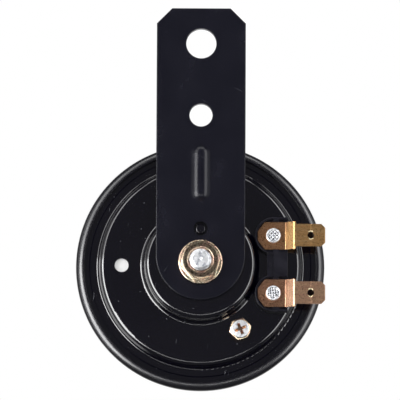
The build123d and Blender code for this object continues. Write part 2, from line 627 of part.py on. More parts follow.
def terminal(place):
    """Brass blade: a cut-cornered root, a joggle towards the rear and a bevelled tip."""
    raised = BLADE_ROOT_REAR + BLADE_JOGGLE
    points = [
        (BLADE_ROOT_X, BLADE_ROOT_REAR),
        (BLADE_BEND_X, BLADE_ROOT_REAR),
        (BLADE_BEND_X + BLADE_BEND_RUN, raised),
        (BLADE_TIP_X, raised),
    ]
    section = sheet_section(points, [BLADE_BEND, BLADE_BEND + BLADE_SHEET], BLADE_SHEET)
    strip = extrude(Plane.XZ * section, BLADE_ROOT_WIDTH / 2, both=True)
    half_root = BLADE_ROOT_WIDTH / 2
    half_blade = BLADE_WIDTH / 2
    side = [
        (BLADE_ROOT_X, BLADE_ROOT_NOSE / 2),
        (BLADE_ROOT_X + BLADE_ROOT_CUT, half_root),
        (BLADE_SHOULDER_X, half_root),
        (BLADE_SHOULDER_X, half_blade),
        (BLADE_TIP_X - BLADE_TIP_CUT, half_blade),
        (BLADE_TIP_X, half_blade - BLADE_TIP_CUT),
    ]
    other_side = [(x, -y) for x, y in reversed(side)]
    outline = make_face(Polyline(*side, *other_side, close=True))
    blade = strip & plate(outline, BLOCK_REAR, raised)
    tip = blade.faces().sort_by(Axis.X)[-1]
    blade = chamfer(tip.edges().filter_by(Axis.Y), BLADE_TIP_BEVEL)
    blade -= disc(RIVET_HOLE_RADIUS, BLOCK_REAR, BLADE_ROOT_REAR, (TERMINAL_X, 0))
    blade -= disc(BLADE_HOLE_RADIUS, BLOCK_REAR, raised, (BLADE_HOLE_X, 0))
    return Pos(0, place[1], 0) * blade


def terminal_upper():
    """Blade that feeds the coil."""
    return terminal(UPPER_RIVET)


def terminal_lower():
    """Blade that feeds the fixed contact."""
    return terminal(LOWER_RIVET)


def rivet(place, tail_rear):
    """Terminal rivet: head on the blade, tail closed on the last sheet inside."""
    head = disc(RIVET_HEAD_RADIUS, BLADE_ROOT_REAR, RIVET_END, place)
    body = round_rear(head, RIVET_HEAD_ROUND)
    body += disc(RIVET_RADIUS, tail_rear, BLADE_ROOT_REAR, place)
    return body + disc(RIVET_TAIL_RADIUS, tail_rear - RIVET_TAIL_HEIGHT, tail_rear, place)


def rivet_upper():
    """Rivet that carries the coil's lug."""
    return rivet(UPPER_RIVET, LUG_FRONT)


def rivet_lower():
    """Longer rivet that carries the contact breaker's stack."""
    return rivet(LOWER_RIVET, ARM_FRONT)


def insulator_plate():
    """Fibre plate that keeps lug and leaf off the housing and keyed to both rivets."""
    outline = Rectangle(INSULATOR_NECK, TERMINAL_PITCH)
    outline = Pos(TERMINAL_X, 0) * outline
    for place in (UPPER_RIVET, LOWER_RIVET):
        outline += Pos(*place) * Circle(INSULATOR_RADIUS)
        outline -= Pos(*place) * Circle(RIVET_HOLE_RADIUS)
    return plate(outline, INSULATOR_FRONT, ANNULUS_FRONT)


def coil_lug():
    """Tag under the upper rivet's tail that takes the coil's first lead."""
    tail_start = WIRE_PLACE_RADIUS - LUG_TAIL_LAP
    tail_length = RIVET_DISTANCE - tail_start
    outline = Pos(tail_start + tail_length / 2, 0) * Rectangle(tail_length, LUG_TAIL_WIDTH)
    outline += Pos(RIVET_DISTANCE, 0) * Circle(LUG_RADIUS)
    outline -= Pos(RIVET_DISTANCE, 0) * Circle(RIVET_HOLE_RADIUS)
    return Rot(0, 0, RIVET_BEARING) * plate(outline, LUG_FRONT, INSULATOR_FRONT)


def contact_leaf():
    """Bronze leaf from the lower rivet to the armature's collar, which lifts its tip."""
    length = RIVET_DISTANCE - LEAF_TIP_RADIUS
    outline = Pos(LEAF_TIP_RADIUS + length / 2, 0) * Rectangle(length, LEAF_WIDTH)
    outline += Pos(RIVET_DISTANCE, 0) * Circle(LEAF_WIDTH / 2)
    outline += Pos(*at_bearing(WIRE_PLACE_RADIUS, LEAD_TURN)) * Circle(LEAF_EAR_RADIUS)
    outline -= Pos(RIVET_DISTANCE, 0) * Circle(RIVET_RADIUS + INSULATING_GAP)
    return Rot(0, 0, -RIVET_BEARING) * plate(outline, LEAF_FRONT, INSULATOR_FRONT)


def insulator_spacer():
    """Fibre washer between the leaf and the contact arm."""
    return ring(RIVET_HOLE_RADIUS, SPACER_INSULATOR_RADIUS, ARM_REAR, LEAF_FRONT, LOWER_RIVET)


def contact_arm():
    """Carrier of the fixed contact. The adjusting screw bears on its free corner."""
    corners = Pos(*LOWER_RIVET) * Circle(ARM_ROOT_RADIUS)
    corners += Pos(*CONTACT_PLACE) * Circle(ARM_TIP_RADIUS)
    corners += Pos(*SCREW_PLACE) * Circle(ARM_TIP_RADIUS)
    arm = plate(make_hull(corners.edges()), ARM_FRONT, ARM_REAR)
    return arm - disc(RIVET_HOLE_RADIUS, ARM_FRONT, ARM_REAR, LOWER_RIVET)


def moving_contact():
    """Contact button on the leaf."""
    return disc(MOVING_CONTACT_RADIUS, CONTACT_MEETING, LEAF_FRONT, CONTACT_PLACE)


def fixed_contact():
    """Contact button on the arm."""
    return disc(FIXED_CONTACT_RADIUS, ARM_REAR, CONTACT_MEETING, CONTACT_PLACE)


def adjusting_screw():
    """Cross-recessed hexagon head screw, threaded in the housing's collar."""
    x, y = SCREW_PLACE
    hex_rear = SCREW_HEAD_FRONT + SCREW_HEX_HEIGHT
    crown_rear = hex_rear + SCREW_CROWN_HEIGHT
    head = turned_hexagon(SCREW_WIDTH, SCREW_HEAD_FRONT, hex_rear, SCREW_TURN, SCREW_HEX_CHAMFER)
    head += round_rear(disc(SCREW_CROWN_RADIUS, hex_rear, crown_rear), SCREW_CROWN_ROUND)
    for turn in (45, 135):
        slot = Rot(0, 0, turn) * Rectangle(RECESS_LENGTH, RECESS_WIDTH)
        head -= plate(slot, crown_rear - RECESS_DEPTH, crown_rear)
    return Pos(x, y, 0) * (head + disc(SCREW_RADIUS, SCREW_TIP, SCREW_HEAD_FRONT))


def flange_nut():
    """Flange nut that holds the bracket on the stud."""
    top = BRACKET_REAR + NUT_HEIGHT
    edge = BRACKET_REAR + NUT_FLANGE_EDGE
    cone_top_radius = NUT_FLANGE_RADIUS - NUT_FLANGE_CONE
    nut = turned_hexagon(NUT_WIDTH, BRACKET_REAR, top, NUT_TURN, NUT_CHAMFER)
    nut += disc(NUT_FLANGE_RADIUS, BRACKET_REAR, edge)
    cone = Cone(NUT_FLANGE_RADIUS, cone_top_radius, NUT_FLANGE_CONE)
    nut += Pos(0, 0, edge + NUT_FLANGE_CONE / 2) * cone
    bore = STUD_RADIUS + RUNNING_FIT
    nut -= disc(bore, BRACKET_REAR, top)
    countersink = Cone(bore, bore + NUT_CHAMFER, NUT_CHAMFER)
    return nut - Pos(0, 0, top - NUT_CHAMFER / 2) * countersink


PIECES = [
    bracket,
    flange_nut,
    housing,
    vent_membrane,
    front_cover,
    rear_gasket,
    front_gasket,
    diaphragm,
    armature,
    spacer_washer,
    tone_disc,
    lock_washer,
    centre_nut,
    core_stud,
    coil_washer,
    coil_bobbin,
    coil_winding,
    coil_retainer,
    coil_lead_start,
    coil_lead_end,
    terminal_block,
    terminal_upper,
    terminal_lower,
    rivet_upper,
    rivet_lower,
    insulator_plate,
    insulator_spacer,
    coil_lug,
    contact_leaf,
    contact_arm,
    moving_contact,
    fixed_contact,
    adjusting_screw,
]

for piece in PIECES:
    export_step(HORN * piece(), f"parts/{piece.__name__}.step")
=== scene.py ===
from math import cos, pi, radians, sin, sqrt

import bmesh
import bpy
from mathutils import Matrix, Vector


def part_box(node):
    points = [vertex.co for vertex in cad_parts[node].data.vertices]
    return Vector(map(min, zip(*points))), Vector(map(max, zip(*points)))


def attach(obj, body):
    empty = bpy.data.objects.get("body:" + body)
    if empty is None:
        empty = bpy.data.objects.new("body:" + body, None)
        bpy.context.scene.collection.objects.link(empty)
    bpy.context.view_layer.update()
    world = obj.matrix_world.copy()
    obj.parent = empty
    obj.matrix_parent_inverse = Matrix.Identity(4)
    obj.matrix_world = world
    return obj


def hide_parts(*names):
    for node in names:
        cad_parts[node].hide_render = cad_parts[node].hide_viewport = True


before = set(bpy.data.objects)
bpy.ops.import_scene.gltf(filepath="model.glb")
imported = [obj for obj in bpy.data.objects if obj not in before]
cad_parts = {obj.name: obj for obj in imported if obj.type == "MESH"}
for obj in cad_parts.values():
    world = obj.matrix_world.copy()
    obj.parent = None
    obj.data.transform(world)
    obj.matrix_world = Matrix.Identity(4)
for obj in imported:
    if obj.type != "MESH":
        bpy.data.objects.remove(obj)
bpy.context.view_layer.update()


# ---------------------------------------------------------------- Housing
# One deep drawn steel pressing, with the hub that seats the core and a step round it. It is
# sprayed with gloss black stoving enamel, thin on the bends, and scuffed in handling.

AXIS_DROP = 61.9
SATIN_FROM = 32.2
SATIN_RUN = 1.2
ENAMEL_BLACK = "#04030e"
ENAMEL_SCUFF = "#9a9da6"


def linear(colour):
    """An sRGB hex colour as the linear RGBA that shaders work in."""
    channels = [int(colour[i:i + 2], 16) / 255 for i in (1, 3, 5)]
    return [c / 12.92 if c <= 0.04045 else ((c + 0.055) / 1.055) ** 2.4 for c in channels] + [1]


def add(tree, kind, inputs=None, **settings):
    """Add one node: settings are its own properties, inputs its sockets' values or links."""
    made = tree.nodes.new(kind)
    for name, value in settings.items():
        setattr(made, name, value)
    for name, value in (inputs or {}).items():
        if isinstance(value, bpy.types.NodeSocket):
            tree.links.new(value, made.inputs[name])
        else:
            made.inputs[name].default_value = value
    return made


def new_finish(name, **sockets):
    """A material with a Principled shader, whose plain values are given by socket name."""
    material = bpy.data.materials.new(name)
    material.use_nodes = True
    tree = material.node_tree
    shader = tree.nodes["Principled BSDF"]
    for socket, value in sockets.items():
        shader.inputs[socket.replace("_", " ")].default_value = value
    return material, tree, shader


def about(tree, centre, turn=(0, 0, 0), grain=(1, 1, 1)):
    """The piece's own coordinates about a centre, turned, counted in grains of so many mm."""
    own = add(tree, "ShaderNodeTexCoord")
    return add(tree, "ShaderNodeMapping", {
        "Vector": own.outputs["Object"], "Location": [c * 0.001 for c in centre],
        "Rotation": [radians(angle) for angle in turn], "Scale": [g * 0.001 for g in grain]},
        vector_type="TEXTURE").outputs["Vector"]


def lay_on(tree, shader, colour, gloss=None, skin=None):
    """Lead a finish's colour, roughness and surface normal into its shader."""
    for socket, source in (("Base Color", colour), ("Roughness", gloss), ("Normal", skin)):
        if source:
            tree.links.new(source, shader.inputs[socket])


def coat(piece_names, material):
    """Give CAD pieces a finish in place of their plain one."""
    for name in piece_names:
        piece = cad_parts[name]
        piece.data.materials.clear()
        piece.data.materials.append(material)


HORN_AXIS = (0, 0, -AXIS_DROP)

enamel, tree, shader = new_finish("stoved black enamel on pressed steel", IOR=1.8)
surface = about(tree, HORN_AXIS)
# Orange peel: the spray's own waviness, about 1.2 mm from crest to crest.
peel = add(tree, "ShaderNodeTexNoise", {"Vector": surface, "Scale": 0.8, "Detail": 2.0})
# Scuffs: hair lines a tenth of a millimetre wide and a few long, mostly upright.
streak = add(tree, "ShaderNodeTexNoise", {
    "Vector": about(tree, HORN_AXIS, (0, 8, 0), (0.42, 2, 5)), "Scale": 1.0, "Detail": 1.0})
patch = add(tree, "ShaderNodeTexNoise", {"Vector": surface, "Scale": 0.085, "Detail": 1.0})
line = add(tree, "ShaderNodeMapRange", {
    "Value": streak.outputs["Fac"], "From Min": 0.75, "From Max": 0.815, "To Max": 0.4})
where = add(tree, "ShaderNodeMapRange", {
    "Value": patch.outputs["Fac"], "From Min": 0.5, "From Max": 0.62})
scuff = add(tree, "ShaderNodeMath", {
    0: line.outputs["Result"], 1: where.outputs["Result"]}, operation="MULTIPLY")
# Dust nibs: pale dots a tenth of a millimetre across, where the spray caught dust.
nib = add(tree, "ShaderNodeTexVoronoi", {"Vector": surface, "Scale": 0.5})
dot = add(tree, "ShaderNodeMapRange", {
    "Value": nib.outputs["Distance"], "From Min": 0.075, "From Max": 0.03, "To Max": 0.6})
few = add(tree, "ShaderNodeMapRange", {
    "Value": nib.outputs["Color"], "From Min": 0.6, "From Max": 0.64})
speck = add(tree, "ShaderNodeMath", {
    0: dot.outputs["Result"], 1: few.outputs["Result"]}, operation="MULTIPLY")
mark = add(tree, "ShaderNodeMath", {
    0: scuff.outputs["Value"], 1: speck.outputs["Value"]}, operation="MAXIMUM")
colour = add(tree, "ShaderNodeMix", {
    "Factor": mark.outputs["Value"], "A": linear(ENAMEL_BLACK), "B": linear(ENAMEL_SCUFF)},
    data_type="RGBA")
haze = add(tree, "ShaderNodeMapRange", {
    "Value": patch.outputs["Fac"], "From Min": 0.3, "From Max": 0.7,
    "To Min": 0.08, "To Max": 0.14})
# The rim is furthest from the spray gun, where the coat dries dusty and comes out satin.
radius = add(tree, "ShaderNodeVectorMath", {
    0: about(tree, HORN_AXIS, grain=(1, 1e6, 1))}, operation="LENGTH")
satin = add(tree, "ShaderNodeMapRange", {
    "Value": radius.outputs["Value"], "From Min": SATIN_FROM, "From Max": SATIN_FROM + SATIN_RUN,
    "To Max": 0.18})
dry = add(tree, "ShaderNodeMath", {
    0: haze.outputs["Result"], 1: satin.outputs["Result"]}, operation="ADD")
matt = add(tree, "ShaderNodeMath", {
    0: mark.outputs["Value"], 1: 0.3, 2: dry.outputs["Value"]}, operation="MULTIPLY_ADD")
skin = add(tree, "ShaderNodeBump", {
    "Height": peel.outputs["Fac"], "Strength": 0.5, "Distance": 6e-6})
lay_on(tree, shader, colour.outputs["Result"], matt.outputs["Value"], skin.outputs["Normal"])
coat(["housing"], enamel)


# ---------------------------------------------------------------- Breather
# A disc of white expanded film, stuck inside the housing over the vent hole. It lets the
# horn breathe and keeps water out, and reads as a plain matt white.

FILM_WHITE = "#fbfbfb"
FILM_SHADE = "#e9e9e7"

film, tree, shader = new_finish("white expanded breather film", Roughness=0.75)
fibre = add(tree, "ShaderNodeTexNoise", {
    "Vector": about(tree, HORN_AXIS), "Scale": 6.0, "Detail": 3.0})
tone = add(tree, "ShaderNodeMapRange", {
    "Value": fibre.outputs["Fac"], "From Min": 0.35, "From Max": 0.6})
colour = add(tree, "ShaderNodeMix", {
    "Factor": tone.outputs["Result"], "A": linear(FILM_SHADE), "B": linear(FILM_WHITE)},
    data_type="RGBA")
skin = add(tree, "ShaderNodeBump", {
    "Height": fibre.outputs["Fac"], "Strength": 0.4, "Distance": 2e-5})
lay_on(tree, shader, colour.outputs["Result"], skin=skin.outputs["Normal"])
coat(["vent_membrane"], film)


# ---------------------------------------------------------------- Bracket
# A strip of 2 mm steel, blanked with two holes, with a stiffening rib pressed into it. Its
# black powder coat is satin and fine grained, and thin along the blanked edges.

POWDER_BLACK = "#0f0f19"
POWDER_WORN = "#20202b"
POWDER_SCRATCH = "#7d8088"
EDGE_BREAK = 0.00012
SMOOTH_BELOW = 32
SHARP_ABOVE = 38


def finished(body, name, nodes, rides="horn"):
    """Turn a bmesh into a smooth shaded piece on a body, which stands for the CAD nodes named."""
    mesh = bpy.data.meshes.new(name)
    body.to_mesh(mesh)
    body.free()
    mesh.shade_smooth()
    mesh.set_sharp_from_angle(angle=radians(SMOOTH_BELOW))
    piece = bpy.data.objects.new(name, mesh)
    bpy.context.collection.objects.link(piece)
    weights = piece.modifiers.new("flat faces stay flat", "WEIGHTED_NORMAL")
    weights.keep_sharp = True
    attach(piece, rides)
    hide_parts(*nodes)
    return piece


def merged(node):
    """A copy of a CAD piece's mesh with its triangles merged back into flat faces."""
    body = bmesh.new()
    body.from_mesh(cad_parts[node].data)
    bmesh.ops.remove_doubles(body, verts=body.verts, dist=1e-6)
    bmesh.ops.dissolve_limit(body, angle_limit=radians(0.5), verts=body.verts, edges=body.edges)
    return body


def break_edges(body, width):
    """Round a piece's sharp edges by a width in metres."""
    sharp = [e for e in body.edges
             if e.is_manifold and e.calc_face_angle(0) > radians(SHARP_ABOVE)]
    bmesh.ops.bevel(body, geom=sharp, offset=width, offset_type="OFFSET", affect="EDGES",
                    segments=2, profile=0.5, material=-1, clamp_overlap=True)
    return body


powder, tree, shader = new_finish("satin black powder coat", IOR=1.5, Specular_IOR_Level=0.28)
surface = about(tree, (0, 0, 0))
# Grain: the powder's fine pebble, about 0.4 mm from crest to crest.
grain = add(tree, "ShaderNodeTexNoise", {"Vector": surface, "Scale": 2.5, "Detail": 3.0})
cloud = add(tree, "ShaderNodeTexNoise", {"Vector": surface, "Scale": 0.13, "Detail": 3.0})
tone = add(tree, "ShaderNodeMapRange", {
    "Value": cloud.outputs["Fac"], "From Min": 0.45, "From Max": 0.85, "To Max": 0.2})
rubbed = add(tree, "ShaderNodeMix", {
    "Factor": tone.outputs["Result"], "A": linear(POWDER_BLACK), "B": linear(POWDER_WORN)},
    data_type="RGBA")
# Scratches: faint lines at two slants, from other parts in the box.
slants = []
for slant in (35, -62):
    hair = add(tree, "ShaderNodeTexNoise", {
        "Vector": about(tree, (0, 0, 0), (0, slant, 0), (0.32, 2, 6)), "Scale": 1.0})
    slants.append(add(tree, "ShaderNodeMapRange", {
        "Value": hair.outputs["Fac"], "From Min": 0.74, "From Max": 0.8, "To Max": 0.3}))
scratch = add(tree, "ShaderNodeMath", {
    0: slants[0].outputs["Result"], 1: slants[1].outputs["Result"]}, operation="MAXIMUM")
colour = add(tree, "ShaderNodeMix", {
    "Factor": scratch.outputs["Value"], "A": rubbed.outputs["Result"],
    "B": linear(POWDER_SCRATCH)}, data_type="RGBA")
rough = add(tree, "ShaderNodeMapRange", {
    "Value": cloud.outputs["Fac"], "From Min": 0.3, "From Max": 0.7,
    "To Min": 0.22, "To Max": 0.28})
skin = add(tree, "ShaderNodeBump", {
    "Height": grain.outputs["Fac"], "Strength": 0.6, "Distance": 8e-6})
lay_on(tree, shader, colour.outputs["Result"], rough.outputs["Result"], skin.outputs["Normal"])

bracket = finished(break_edges(merged("bracket"), EDGE_BREAK), "bracket_strip", ["bracket"])
bracket.data.materials.append(powder)


# ---------------------------------------------------------------- Curled rim of the cover
# The cover's edge is curled over the housing's flange and closed in a press, which leaves a
# full round roll, not a flat lip. The slots are blanked, and their edges are tumbled.

RIM_CUT_LEVEL = 12.2
RIM_RADIUS = 35.0
RIM_INNER_RADIUS = 34.0
RIM_SUMMIT_RADIUS = 32.78
RIM_SUMMIT = 10.25
RIM_EDGE_RADIUS = 32.6
RIM_SEAT = 11.25
RIM_EDGE_ROUND = 0.25
RIM_EDGE_MIDDLE = (0.12, 0.06)
INNER_BEND_LEVEL = 11.7
INNER_BEND_RUN = 0.5
INNER_BEND_MIDDLE = (0.15, 11.37)
ROLL_STEPS = 12
SLOT_EDGE_BREAK = 0.00015


def drawn_out(body, loop, radius, path):
    """Draw an edge loop round the horn's axis out along radii and levels in millimetres."""
    level = sum(v.co.y for e in loop for v in e.verts) * 500 / len(loop)
    for new_radius, new_level in path:
        fresh = bmesh.ops.extrude_edge_only(body, edges=loop)["geom"]
        verts = [g for g in fresh if isinstance(g, bmesh.types.BMVert)]
        bmesh.ops.scale(body, verts=verts, vec=(new_radius / radius, 1, new_radius / radius),
                        space=Matrix.Translation((0, 0, AXIS_DROP * 0.001)))
        bmesh.ops.translate(body, verts=verts, vec=(0, (new_level - level) * 0.001, 0))
        radius, level = new_radius, new_level
        loop = [g for g in fresh if isinstance(g, bmesh.types.BMEdge)
                and g.verts[0] in verts and g.verts[1] in verts]
    return loop


body = merged("front_cover")
bmesh.ops.bisect_plane(body, geom=body.verts[:] + body.edges[:] + body.faces[:], dist=1e-7,
                       plane_co=(0, RIM_CUT_LEVEL * 0.001, 0), plane_no=(0, 1, 0),
                       clear_inner=True)
outer, inner = [], []
for edge in body.edges:
    if edge.is_boundary:
        corner = edge.verts[0].co - Vector((0, 0, -AXIS_DROP * 0.001))
        away = Vector((corner.x, corner.z)).length * 1000
        (outer if away > (RIM_RADIUS + RIM_INNER_RADIUS) / 2 else inner).append(edge)
run = RIM_RADIUS - RIM_SUMMIT_RADIUS
rise = RIM_CUT_LEVEL - RIM_SUMMIT
roll = [(RIM_SUMMIT_RADIUS + run * cos(pi / 2 * step / ROLL_STEPS),
         RIM_CUT_LEVEL - rise * sin(pi / 2 * step / ROLL_STEPS))
        for step in range(1, ROLL_STEPS + 1)]
roll += [(RIM_EDGE_RADIUS + RIM_EDGE_MIDDLE[0], RIM_SUMMIT + RIM_EDGE_MIDDLE[1]),
         (RIM_EDGE_RADIUS, RIM_SUMMIT + RIM_EDGE_ROUND), (RIM_EDGE_RADIUS, RIM_SEAT)]
outer = drawn_out(body, outer, RIM_RADIUS, roll)
inner = drawn_out(body, inner, RIM_INNER_RADIUS,
                  [(RIM_INNER_RADIUS, INNER_BEND_LEVEL),
                   (RIM_INNER_RADIUS - INNER_BEND_MIDDLE[0], INNER_BEND_MIDDLE[1]),
                   (RIM_INNER_RADIUS - INNER_BEND_RUN, RIM_SEAT)])
bmesh.ops.bridge_loops(body, edges=outer + inner)
bmesh.ops.recalc_face_normals(body, faces=body.faces)
break_edges(body, SLOT_EDGE_BREAK)
cover = finished(body, "front_cover_curled", ["front_cover"])
cover.data.materials.append(enamel)


# ---------------------------------------------------------------- Core and stud
# The coil's iron core is turned from one bar with the M6 stud that carries the horn. It is
# bright zinc plated. The thread is rolled, and the end has a chamfer and a centre mark.

THREAD_PITCH = 1.0
STUD_RADIUS = 3.0
STUD_ROOT = 2.42
STUD_CHAMFER = 0.75
STUD_TURN = 20
CENTRE_MARK = 0.42
CENTRE_MARK_DEPTH = 0.6 * CENTRE_MARK
THREAD_RUN_IN = 0.3
THREAD_LENGTH = 6.5
THREAD_FOOT = 0.49
THREAD_CREST = 0.07
THREAD_SINK = 0.15
PLAIN_LENGTH = 2
CORE_EDGE_ROUND = 0.3
HUB_FRONT = 3.0
ZINC_BRIGHT = "#f4f5f8"
ZINC_DULL = "#999ca4"


def turned(points, rounds, steps=96):
    """A solid of revolution about Y. Points are radius and level in millimetres, each with
    the size by which its corner is rounded."""
    body = bmesh.new()
    verts = [body.verts.new((radius * 0.001, level * 0.001, 0)) for radius, level in points]
    for pair in zip(verts, verts[1:] + verts[:1]):
        body.edges.new(pair)
    for vert, rounding in zip(verts, rounds):
        if rounding:
            bmesh.ops.bevel(body, geom=[vert], offset=rounding * 0.001, offset_type="OFFSET",
                            affect="VERTICES", segments=4, profile=0.5, material=-1)
    bmesh.ops.spin(body, geom=body.verts[:] + body.edges[:], cent=(0, 0, 0), axis=(0, 1, 0),
                   angle=2 * pi, steps=steps, use_merge=True)
    bmesh.ops.remove_doubles(body, verts=body.verts, dist=1e-7)
    bmesh.ops.recalc_face_normals(body, faces=body.faces)
    return body


def thread(radius, root, pitch, start, length, steps_a_turn=48):
    """A rolled V thread about Y: one ridge, spun round while it moves on a pitch a turn."""
    body = bmesh.new()
    foot = pitch * THREAD_FOOT
    crest = pitch * THREAD_CREST
    sunk = root - THREAD_SINK
    ridge = [(sunk, -foot), (root, -foot), (radius, -crest), (radius, crest), (root, foot),
             (sunk, foot)]
    verts = [body.verts.new((r * 0.001, (start + y) * 0.001, 0)) for r, y in ridge]
    first = body.faces.new(verts)
    turns = length / pitch
    steps = round(steps_a_turn * turns)
    swept = bmesh.ops.extrude_face_region(body, geom=[first])
    bmesh.ops.delete(body, geom=swept["geom"], context="VERTS")
    bmesh.ops.spin(body, geom=body.edges[:] + body.verts[:], cent=(0, 0, 0), axis=(0, 1, 0),
                   dvec=(0, length * 0.001 / steps, 0), angle=2 * pi * turns, steps=steps)
    bmesh.ops.holes_fill(body, edges=body.edges, sides=0)
    bmesh.ops.recalc_face_normals(body, faces=body.faces)
    return body


def combined(body, tool, way):
    """Two closed bmeshes made one, by UNION, INTERSECT or DIFFERENCE."""
    pair = []
    for shape in (body, tool):
        mesh = bpy.data.meshes.new("shape")
        shape.to_mesh(mesh)
        shape.free()
        pair.append(bpy.data.objects.new("shape", mesh))
        bpy.context.collection.objects.link(pair[-1])
    knife = pair[0].modifiers.new("cut", "BOOLEAN")
    knife.operation = way
    knife.solver = "EXACT"
    knife.object = pair[1]
    result = bpy.data.meshes.new_from_object(
        pair[0].evaluated_get(bpy.context.evaluated_depsgraph_get()))
    after = bmesh.new()
    after.from_mesh(result)
    bmesh.ops.remove_doubles(after, verts=after.verts, dist=2e-7)
    for shape in pair:
        mesh = shape.data
        bpy.data.objects.remove(shape)
        bpy.data.meshes.remove(mesh)
    bpy.data.meshes.remove(result)
    return after


def place(body, x, z, turn):
    """Move a bmesh made about the origin to its own axis, clocked by an angle about it."""
    bmesh.ops.rotate(body, verts=body.verts, cent=(0, 0, 0),
                     matrix=Matrix.Rotation(radians(-turn), 3, "Y"))
    bmesh.ops.translate(body, verts=body.verts, vec=(x * 0.001, 0, z * 0.001))
    return body


low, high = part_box("core_stud")
stud_end = low.y * 1000
core_face = high.y * 1000
core_radius = (high.x - low.x) * 500
chamfer_end = stud_end + STUD_CHAMFER

bar = turned([(0, stud_end), (STUD_ROOT, stud_end), (STUD_ROOT, HUB_FRONT - PLAIN_LENGTH),
              (STUD_RADIUS, HUB_FRONT - PLAIN_LENGTH), (STUD_RADIUS, HUB_FRONT),
              (core_radius, HUB_FRONT), (core_radius, core_face), (0, core_face)],
             [0, 0, 0, 0, 0, CORE_EDGE_ROUND, CORE_EDGE_ROUND, 0])
ridge = thread(STUD_RADIUS, STUD_ROOT, THREAD_PITCH, stud_end + THREAD_RUN_IN, THREAD_LENGTH)
envelope = turned([(0, stud_end + CENTRE_MARK_DEPTH), (CENTRE_MARK, stud_end),
                   (STUD_RADIUS - STUD_CHAMFER, stud_end), (STUD_RADIUS, chamfer_end),
                   (STUD_RADIUS, HUB_FRONT), (core_radius, HUB_FRONT),
                   (core_radius, core_face), (0, core_face)],
                  [0, 0.05, 0.1, 0.06, 0, CORE_EDGE_ROUND, CORE_EDGE_ROUND, 0])
stud = combined(combined(bar, ridge, "UNION"), envelope, "INTERSECT")
stud = finished(place(stud, 0, -AXIS_DROP, STUD_TURN), "core_and_stud", ["core_stud"])

bright_zinc, tree, shader = new_finish("bright zinc plate on turned steel", Metallic=1.0)
# Turning marks: rings about the axis, 0.25 mm apart.
rings = add(tree, "ShaderNodeTexWave", {
    "Vector": about(tree, HORN_AXIS), "Scale": 1.3, "Distortion": 1.5, "Detail": 2.0},
    wave_type="RINGS", rings_direction="Y")
stain = add(tree, "ShaderNodeTexNoise", {
    "Vector": about(tree, HORN_AXIS), "Scale": 0.9, "Detail": 4.0})
dull = add(tree, "ShaderNodeMapRange", {
    "Value": stain.outputs["Fac"], "From Min": 0.48, "From Max": 0.68})
colour = add(tree, "ShaderNodeMix", {
    "Factor": dull.outputs["Result"], "A": linear(ZINC_BRIGHT), "B": linear(ZINC_DULL)},
    data_type="RGBA")
rough = add(tree, "ShaderNodeMapRange", {
    "Value": stain.outputs["Fac"], "From Min": 0.35, "From Max": 0.7,
    "To Min": 0.4, "To Max": 0.56})
skin = add(tree, "ShaderNodeBump", {
    "Height": rings.outputs["Fac"], "Strength": 0.35, "Distance": 1e-5})
lay_on(tree, shader, colour.outputs["Result"], rough.outputs["Result"], skin.outputs["Normal"])
stud.data.materials.append(bright_zinc)


# ---------------------------------------------------------------- Flange nut
# A cold formed M6 flange nut. Its zinc plate is passivated yellow: a thin golden film with
# rainbow patches, and a darker brown mottled ring on the rear face.

NUT_WIDTH = 10.0
NUT_REAR = -6.0
NUT_CHAMFER_RISE = 0.34
NUT_FACE_RADIUS = 4.72
NUT_MOUTH_RADIUS = 3.62
NUT_MOUTH_DEPTH = 0.6
NUT_BORE_RADIUS = 3.03
NUT_FLANGE_RADIUS = 6.2
NUT_FLANGE_EDGE = -1.25
NUT_FLANGE_TOP = -1.42
NUT_CONE_RADIUS = 4.6
NUT_FOOT_RADIUS = 4.8
NUT_FOOT_ROUND = 0.14
NUT_CORNER_ROUND = 0.12
NUT_TURN = 44
PAST_THE_CORNERS = 0.6
GOLD = "#d9c2a7"
GOLD_ROSE = "#dbae9f"
GOLD_GREEN = "#c4c2ac"
NUT_DARK_RING = "#3a322b"


def hexagon(width, rear, front, corner_round):
    """A hexagonal bar about Y with a flat towards +X, its long edges rounded."""
    body = bmesh.new()
    bmesh.ops.create_cone(body, cap_ends=True, segments=6, radius1=width * 0.001 / sqrt(3),
                          radius2=width * 0.001 / sqrt(3), depth=(front - rear) * 0.001,
                          matrix=Matrix.Translation((0, (front + rear) * 0.0005, 0))
                          @ Matrix.Rotation(pi / 2, 4, "X"))
    long_edges = [e for e in body.edges if abs(e.verts[0].co.y - e.verts[1].co.y) > 1e-4]
    bmesh.ops.bevel(body, geom=long_edges, offset=corner_round * 0.001, offset_type="OFFSET",
                    affect="EDGES", segments=3, profile=0.5, material=-1)
    return body


clear = NUT_WIDTH * PAST_THE_CORNERS
blank = turned([(NUT_BORE_RADIUS, 0.0), (clear, 0.0), (clear, NUT_REAR + NUT_CHAMFER_RISE),
                (NUT_FACE_RADIUS, NUT_REAR), (NUT_MOUTH_RADIUS, NUT_REAR),
                (NUT_BORE_RADIUS, NUT_REAR + NUT_MOUTH_DEPTH)],
               [0, 0, 0, 0.18, 0.15, 0.05])
flange = turned([(NUT_BORE_RADIUS, 0.0), (NUT_FLANGE_RADIUS, 0.0),
                 (NUT_FLANGE_RADIUS, NUT_FLANGE_EDGE), (NUT_CONE_RADIUS, NUT_FLANGE_TOP),
                 (NUT_BORE_RADIUS, NUT_FLANGE_TOP)],
                [0, 0.15, 0.3, 0, 0])
nut = combined(hexagon(NUT_WIDTH, NUT_REAR - 0.1, -0.2, NUT_CORNER_ROUND), blank, "INTERSECT")
nut = combined(nut, flange, "UNION")
